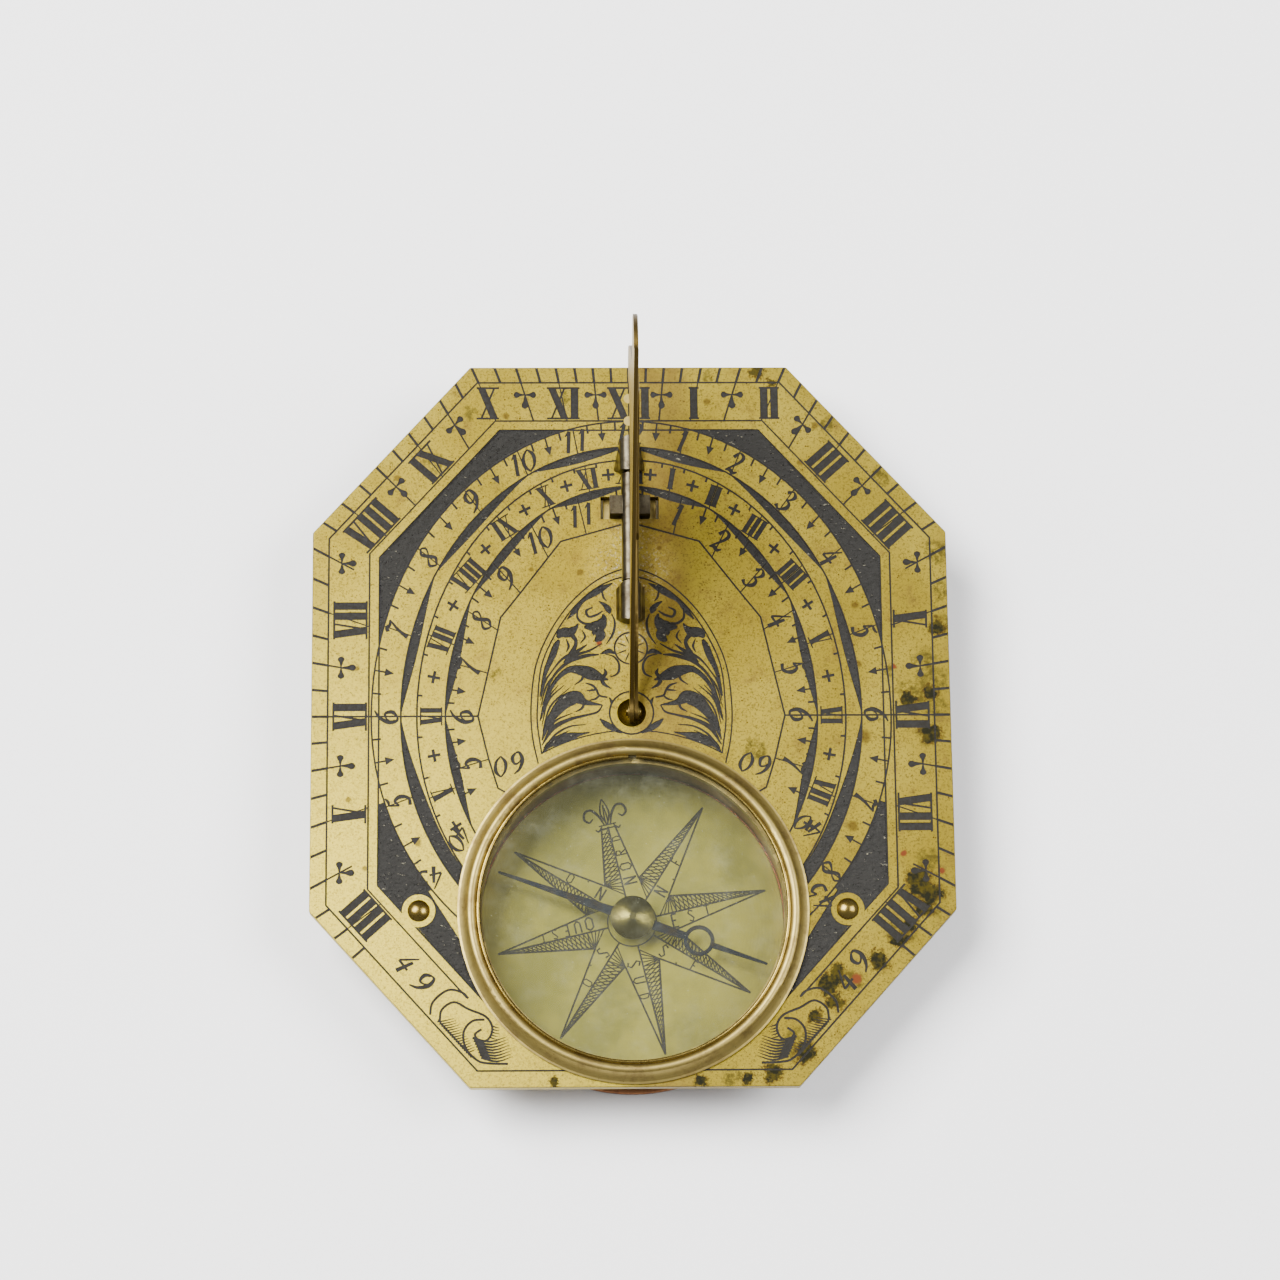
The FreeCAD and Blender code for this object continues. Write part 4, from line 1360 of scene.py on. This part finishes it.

# Blemishes, painted sheen and painted shade as (x, y, radius) in millimetres from the dial centre.
STAINS = on_dial([
    (29.5, 5.8, 1.3), (30.3, 3.6, 1.7), (28.2, 2.2, 1.6), (30.6, 0.8, 1.3), (29.8, -2.1, 1.3),
    (31.2, 17.0, 1.4), (31.4, 13.0, 0.9), (31.2, 9.2, 1.1), (25.9, 4.6, 0.6), (29.3, -15.0, 1.2),
    (28.6, -18.2, 2.1), (29.6, -19.6, 1.4), (26.4, -22.2, 1.5), (21.4, -27.0, 1.3), (15.9, -33.2, 1.5),
    (20.4, 30.6, 0.8), (25.5, 25.0, 1.0), (9.5, -36.6, 1.0), (-16.2, 31.9, 0.9), (-19.9, 26.6, 1.0),
    (-6.5, 33.5, 0.7), (8.0, 35.8, 0.7), (12.4, -3.4, 1.3), (-13.5, 4.3, 0.6),
])
CORROSION = on_dial([
    (30.0, 2.2, 0.8), (27.6, 1.6, 0.8), (30.0, -2.0, 0.9), (30.8, 9.1, 0.7), (28.4, -17.2, 1.3),
    (29.5, -18.2, 1.1), (28.9, -19.7, 0.9), (27.2, -21.3, 0.8), (26.2, -23.0, 0.8), (24.2, -25.1, 0.9),
    (20.0, -26.2, 0.8), (19.2, -27.4, 1.0), (19.9, -29.2, 0.8), (17.8, -30.6, 0.7), (16.7, -34.0, 1.0),
    (13.5, -36.2, 0.9), (11.0, -36.9, 0.6), (6.5, -36.9, 0.6), (13.2, 36.2, 0.7), (14.6, 35.0, 0.5),
    (-8.0, -36.8, 0.5),
])
DARK_SPOTS = on_dial([
    (-5.0, 15.0, 0.4), (-10.0, 15.3, 0.3), (3.0, 17.5, 0.3), (17.4, 26.5, 0.35), (-23.5, 25.0, 0.4),
    (-27.5, 5.0, 0.35), (-28.2, -8.5, 0.3), (-12.5, 31.5, 0.35), (8.0, 33.0, 0.4), (19.0, 30.5, 0.4),
    (22.8, 5.3, 0.4), (-26.5, -15.5, 0.3), (23.3, -2.2, 0.7), (22.6, 11.5, 0.45), (21.9, -11.4, 0.6),
    (-21.3, -12.9, 0.4),
])
RED_SPOTS = on_dial([
    (-3.2, 7.5, 0.4), (21.9, -26.8, 0.6), (26.4, 5.0, 0.3), (26.9, -14.2, 0.35), (30.6, -16.0, 0.35),
])
# Where the painted sheen lies: a wide patch over the south-west.
PAINTED_SHEEN_CORNER = on_dial([(-33.0, -26.0, 34.0)])
GNOMON_FOOT = on_dial([(0.0, 18.5, 2.6), (0.0, 15.2, 3.8), (0.0, 8.3, 2.4)])
HALO = 1.35
SHADED_CARD = [(-5.0, 16.5, 13.0)]


def brass_tones(surface, pale, middle, dull):
    """Mottled old brass: pale, dull and tarnished patches, fine grain and dark specks."""
    broad = surface.noise(9.0, detail=4.0)
    grain = surface.noise(0.22, detail=6.0, roughness=0.75)
    tone = surface.mix(surface.between(broad, 0.3, 0.65), pale, middle)
    tone = surface.mix(surface.between(grain, 0.48, 0.66), tone, dull)
    clouds = surface.between(surface.noise(2.2, detail=8.0, roughness=0.75), 0.53, 0.7)
    tone = surface.cover(tone, TARNISH_AND_SHADE, clouds, 0.6)
    specks = surface.between(surface.cells(0.6), 0.2, 0.07)
    keep = surface.between(surface.noise(1.7, detail=3.0), 0.45, 0.58)
    return surface.cover(tone, BROWN, specks, keep), grain


def corroded(surface, tone, grain, ragged):
    """The tone under stains and green-black crusts with brown halos, and where the crusts are."""
    blotched = surface.between(surface.noise(0.8, detail=8.0, roughness=0.75), 0.62, 0.42)
    tone = surface.cover(tone, OLIVE, surface.spots(STAINS, ragged, 0.4), blotched)
    crusted = surface.spots(CORROSION, ragged, 0.18)
    halo = surface.spots([(x, y, radius * HALO) for x, y, radius in CORROSION], ragged, 0.3)
    tone = surface.cover(tone, BROWN, halo, surface.between(grain, 0.35, 0.6))
    patches = surface.between(surface.noise(0.7, detail=6.0), 0.42, 0.62)
    return surface.mix(crusted, tone, surface.mix(patches, GREEN_BLACK, OLIVE)), crusted


def engraved_brass():
    """Brass of the dial: a painted sheen at the south-west, painted shade beside the gnomon, stained and
    corroded at the east.
    """
    surface = Surface("engraved_brass")
    tone, grain = brass_tones(surface, PALE_BRASS, BRASS, DULL_BRASS)
    # Painted sheen: paler brass over the south-west, standing for a lamp's reflection.
    painted_sheen = surface.spots(PAINTED_SHEEN_CORNER, surface.place, 0.9)
    tone = surface.cover(tone, PAINTED_SHEEN, painted_sheen, surface.between(grain, 0.8, 0.4))
    # Painted shade in a band just east of the noon line, standing for the gnomon's shadow and dark
    # reflection.
    tone = surface.cover(tone, TARNISH_AND_SHADE, surface.across(3.0, 1.6, 2.5), surface.noise(1.5, detail=6.0))
    around_foot = surface.spots(GNOMON_FOOT, surface.warped(1.5, 1.2), 0.8)
    powder = surface.between(surface.noise(0.35, detail=6.0, roughness=0.8), 0.5, 0.75)
    tone = surface.cover(tone, RESIDUE, around_foot, powder)
    near = surface.warped(0.8, 0.35)
    tone = surface.cover(tone, BROWN, surface.spots(DARK_SPOTS, near), 0.7)
    tone, crusted = corroded(surface, tone, grain, surface.warped(1.1, 1.3))
    tone = surface.mix(surface.spots(RED_SPOTS, near), tone, RUST)
    roughness = surface.scaled(crusted, 0.3, surface.scaled(grain, 0.3, 0.3))
    scratches = surface.noise(0.5, detail=4.0, stretch=(0.12, 1.0, 1.0))
    return surface.finish(tone, roughness, surface.scaled(scratches, 0.6, grain), 0.02, Metallic=1.0)


def blade_brass():
    """Brass of the gnomon, browner than the dial, with painted shade along its edges."""
    surface = Surface("blade_brass")
    tone, grain = brass_tones(surface, *BLADE_TONES)
    # Painted shade on the faces that do not look east or west, which are the narrow edges.
    tone = surface.mix(surface.facing_sideways(), BLADE_EDGE_SHADE, tone)
    return surface.finish(tone, surface.scaled(grain, 0.3, 0.32), grain, 0.02, Metallic=1.0)


def plain_brass(name, light, dark, roughness):
    """Handled brass of the fittings, darker in patches."""
    surface = Surface(name)
    patches = surface.noise(3.0, detail=6.0, roughness=0.7)
    specks = surface.between(surface.cells(0.7), 0.13, 0.05)
    tone = surface.mix(surface.between(patches, 0.42, 0.68), light, dark)
    tone = surface.cover(tone, BROWN, specks, 0.5)
    roughness = surface.scaled(patches, 0.25, roughness - 0.12)
    brushed = surface.noise(0.35, detail=5.0, stretch=(1.0, 1.0, 0.2))
    return surface.finish(tone, roughness, brushed, 0.012, Metallic=1.0)


def dark_line():
    """Black filling of the cut lines."""
    surface = Surface("dark_line")
    grain = surface.noise(0.3, detail=6.0, roughness=0.75)
    tone = surface.mix(grain, *LINE_TONES)
    return surface.finish(tone, surface.between(grain, -0.2, 0.9), grain, 0.05, Specular_IOR_Level=0.2)


def dark_ground():
    """Hard black filling of the broad grounds, chipped, with glints of bare metal."""
    surface = Surface("dark_ground")
    grain = surface.noise(0.3, detail=6.0, roughness=0.75)
    chips = surface.noise(0.35, detail=4.0, roughness=0.7, stretch=(0.5, 1.0, 1.0))
    bare = surface.between(chips, 0.645, 0.69)
    tone = surface.mix(bare, surface.mix(grain, *GROUND_TONES), BARE_METAL)
    roughness = surface.between(grain, 0.15, 0.85)
    return surface.finish(tone, roughness, chips, 0.6, Metallic=bare, Specular_IOR_Level=0.25)


def card_brass():
    """The compass card, greener and duller than the dial, shaded at the north-west."""
    surface = Surface("card_brass")
    broad = surface.noise(7.0, detail=5.0, roughness=0.65)
    tone = surface.mix(surface.between(broad, 0.35, 0.65), *CARD_TONES)
    shaded = surface.spots(SHADED_CARD, surface.warped(3.0, 1.0), 0.9)
    tone = surface.cover(tone, CARD_SHADED, shaded, 0.6)
    specks = surface.between(surface.noise(0.6, detail=6.0, roughness=0.75), 0.62, 0.72)
    tone = surface.cover(tone, CARD_SPECK, specks, 0.4)
    return surface.finish(tone, surface.scaled(broad, 0.2, 0.35), surface.turned(1.1), 0.001, Metallic=0.8)


def old_glass():
    """Clear glass under a thin film of dust: the shader shows only the dust."""
    surface = Surface("old_glass")
    dust = surface.between(surface.noise(2.5, detail=8.0, roughness=0.75), 0.45, 0.8)
    specks = surface.between(surface.cells(0.9), 0.07, 0.03)
    haze = surface.scaled(dust, 0.06, 0.02)
    cover = surface.math("ADD", haze, surface.math("MULTIPLY", specks, 0.3), clamp=True)
    roughness = surface.math("MULTIPLY", dust, 0.4)
    waves = surface.noise(6.0, detail=2.0)
    return surface.finish(GLASS_DUST, roughness, waves, 0.02, Alpha=cover, IOR=1.5)


def steel(name, light, dark):
    surface = Surface(name)
    patches = surface.noise(1.2, detail=6.0, roughness=0.7)
    tone = surface.mix(surface.between(patches, 0.4, 0.7), light, dark)
    roughness = surface.scaled(patches, 0.3, 0.2)
    return surface.finish(tone, roughness, surface.noise(0.3), 0.01, Metallic=1.0)


def floor_paper():
    surface = Surface("floor_paper")
    fibres = surface.noise(0.6, detail=8.0, roughness=0.7)
    return surface.finish(surface.mix(fibres, *PAPER_TONES), 0.9, fibres, 0.03)


# --------------------------------------------------------------- the sundial
EAST = Vector((1, 0, 0))
NORTH = Vector((0, 1, 0))
UP = Vector((0, 0, 1))


def face_plane(origin, across, up):
    """Matrix from drawing millimetres to the frame, for a face that looks along across x up."""
    across, up = Vector(across).normalized(), Vector(up).normalized()
    axes = Matrix((across, up, across.cross(up))).transposed().to_4x4()
    return Matrix.Translation(origin) @ axes @ Matrix.Scale(MM, 4)


def engraved_pieces():
    """The dial, the compass card, and the east faces of the style and its foot."""
    fillings = [dark_line(), dark_ground()]
    dial = [engraved_brass()] + fillings
    card = [card_brass()] + fillings
    blade = [blade_brass()] + fillings
    latitude = math.radians(LATITUDES["edge"])
    along_style = Vector((0, math.cos(latitude), math.sin(latitude)))
    above_style = Vector((0, -math.sin(latitude), math.cos(latitude)))
    card_centre = Vector((0, 0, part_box("compass_card")[1].z))
    style_face = Vector((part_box("style_plate")[1].x, STYLE_PIVOT.y, STYLE_PIVOT.z))
    foot_face = Vector((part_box("foot_plate")[1].x, DIAL_CENTRE.y, DIAL_CENTRE.z))
    for name, node, plane, drawing, materials in (
        ("dial_engraved", "dial_plate", (DIAL_CENTRE, EAST, NORTH), dial_drawing(), dial),
        ("card_engraved", "compass_card", (card_centre, EAST, NORTH), compass_drawing(), card),
        ("style_engraved", "style_plate", (style_face, along_style, above_style), style_drawing(), blade),
        ("foot_engraved", "foot_plate", (foot_face, NORTH, UP), foot_drawing(), blade),
    ):
        engrave(name, node, face_plane(*plane), drawing, materials)


SOFT_WIDTHS = {
    "knuckle_north": 0.12,
    "knuckle_south": 0.12,
    "fold_bar": 0.06,
    "fold_spring": 0.04,
    "box_flange": 0.1,
}


def node_finishes():
    """Materials by the record's slot."""
    return {
        "brass": plain_brass("brass_fittings", (0.26, 0.2, 0.06), (0.15, 0.107, 0.036), 0.45),
        "bright_brass": plain_brass("brass_worn_bright", (0.2, 0.145, 0.036), (0.09, 0.058, 0.014), 0.26),
        "copper_brass": plain_brass("brass_reddish", (0.22, 0.10, 0.045), (0.09, 0.035, 0.018), 0.4),
        "glass": old_glass(),
        "steel": steel("steel_grey", (0.055, 0.047, 0.031), (0.02, 0.015, 0.009)),
        "blued_steel": steel("steel_blued", (0.009, 0.012, 0.02), (0.018, 0.014, 0.01)),
    }


def finish_nodes():
    """Materials of the CAD nodes that stay, and softened copies of the hard-edged ones."""
    finishes = node_finishes()
    dull = plain_brass("brass_dull", (0.07, 0.062, 0.016), (0.035, 0.03, 0.01), 0.3)
    for node, piece in frame["nodes"].items():
        finish = dull if node == "needle_cap" else finishes.get(record_slot(node))
        if finish is None:
            continue
        piece.data.materials.clear()
        piece.data.materials.append(finish)
        if node in SOFT_WIDTHS:
            softened(node + "_soft", node, SOFT_WIDTHS[node], finish)


# ----------------------------------------------------------------- the stage
FLOOR_REACH = 1.5

# Lamps as name, place, side in metres, watts and colour; all face the dial's centre.
LAMPS = (
    ("window", (-0.5, 0.28, 0.78), 0.6, 38.0, (1.0, 0.995, 0.98)),
    ("east", (0.6, 0.1, 0.72), 0.5, 13.0, (0.99, 0.99, 1.0)),
)
SKY_COLOUR = (0.95, 0.95, 0.96, 1.0)
SKY_STRENGTH = 0.5

# The camera's place from the dial centre in millimetres, its axes and its lens.
CAMERA_PLACE = (-10.71, -108.16, 420.57)
CAMERA_AXES = ((0.99964, -0.00997, 0.02489), (0.00300, 0.96397, 0.26598), (-0.02664, -0.26581, 0.96366))
FOCAL_LENGTH = 122.175
SENSOR_WIDTH = 36.0


def floor():
    mesh = bpy.data.meshes.new("floor")
    corners = [(-1, -1), (1, -1), (1, 1), (-1, 1)]
    mesh.from_pydata([(x * FLOOR_REACH, y * FLOOR_REACH, 0) for x, y in corners], [], [(0, 1, 2, 3)])
    mesh.materials.append(floor_paper())
    linked("floor", mesh)


def area_light(name, place, size, power, colour):
    light = bpy.data.lights.new(name, "AREA")
    light.shape = "SQUARE"
    light.size = size
    light.energy = power
    light.color = colour
    lamp = linked(name, light)
    lamp.location = place
    lamp.rotation_mode = "QUATERNION"
    lamp.rotation_quaternion = (DIAL_CENTRE - Vector(place)).to_track_quat("-Z", "Y")


def lights():
    for lamp in LAMPS:
        area_light(*lamp)
    world = bpy.data.worlds.new("studio")
    world.use_nodes = True
    sky = world.node_tree.nodes["Background"]
    sky.inputs["Color"].default_value = SKY_COLOUR
    sky.inputs["Strength"].default_value = SKY_STRENGTH
    bpy.context.scene.world = world


def camera():
    lens = bpy.data.cameras.new("camera")
    lens.lens = FOCAL_LENGTH
    lens.sensor_width = SENSOR_WIDTH
    place = DIAL_CENTRE + Vector(CAMERA_PLACE) * MM
    piece = linked("camera", lens)
    piece.matrix_world = Matrix.Translation(place) @ Matrix(CAMERA_AXES).transposed().to_4x4()
    bpy.context.scene.camera = piece


engraved_pieces()
finish_nodes()
floor()
lights()
camera()
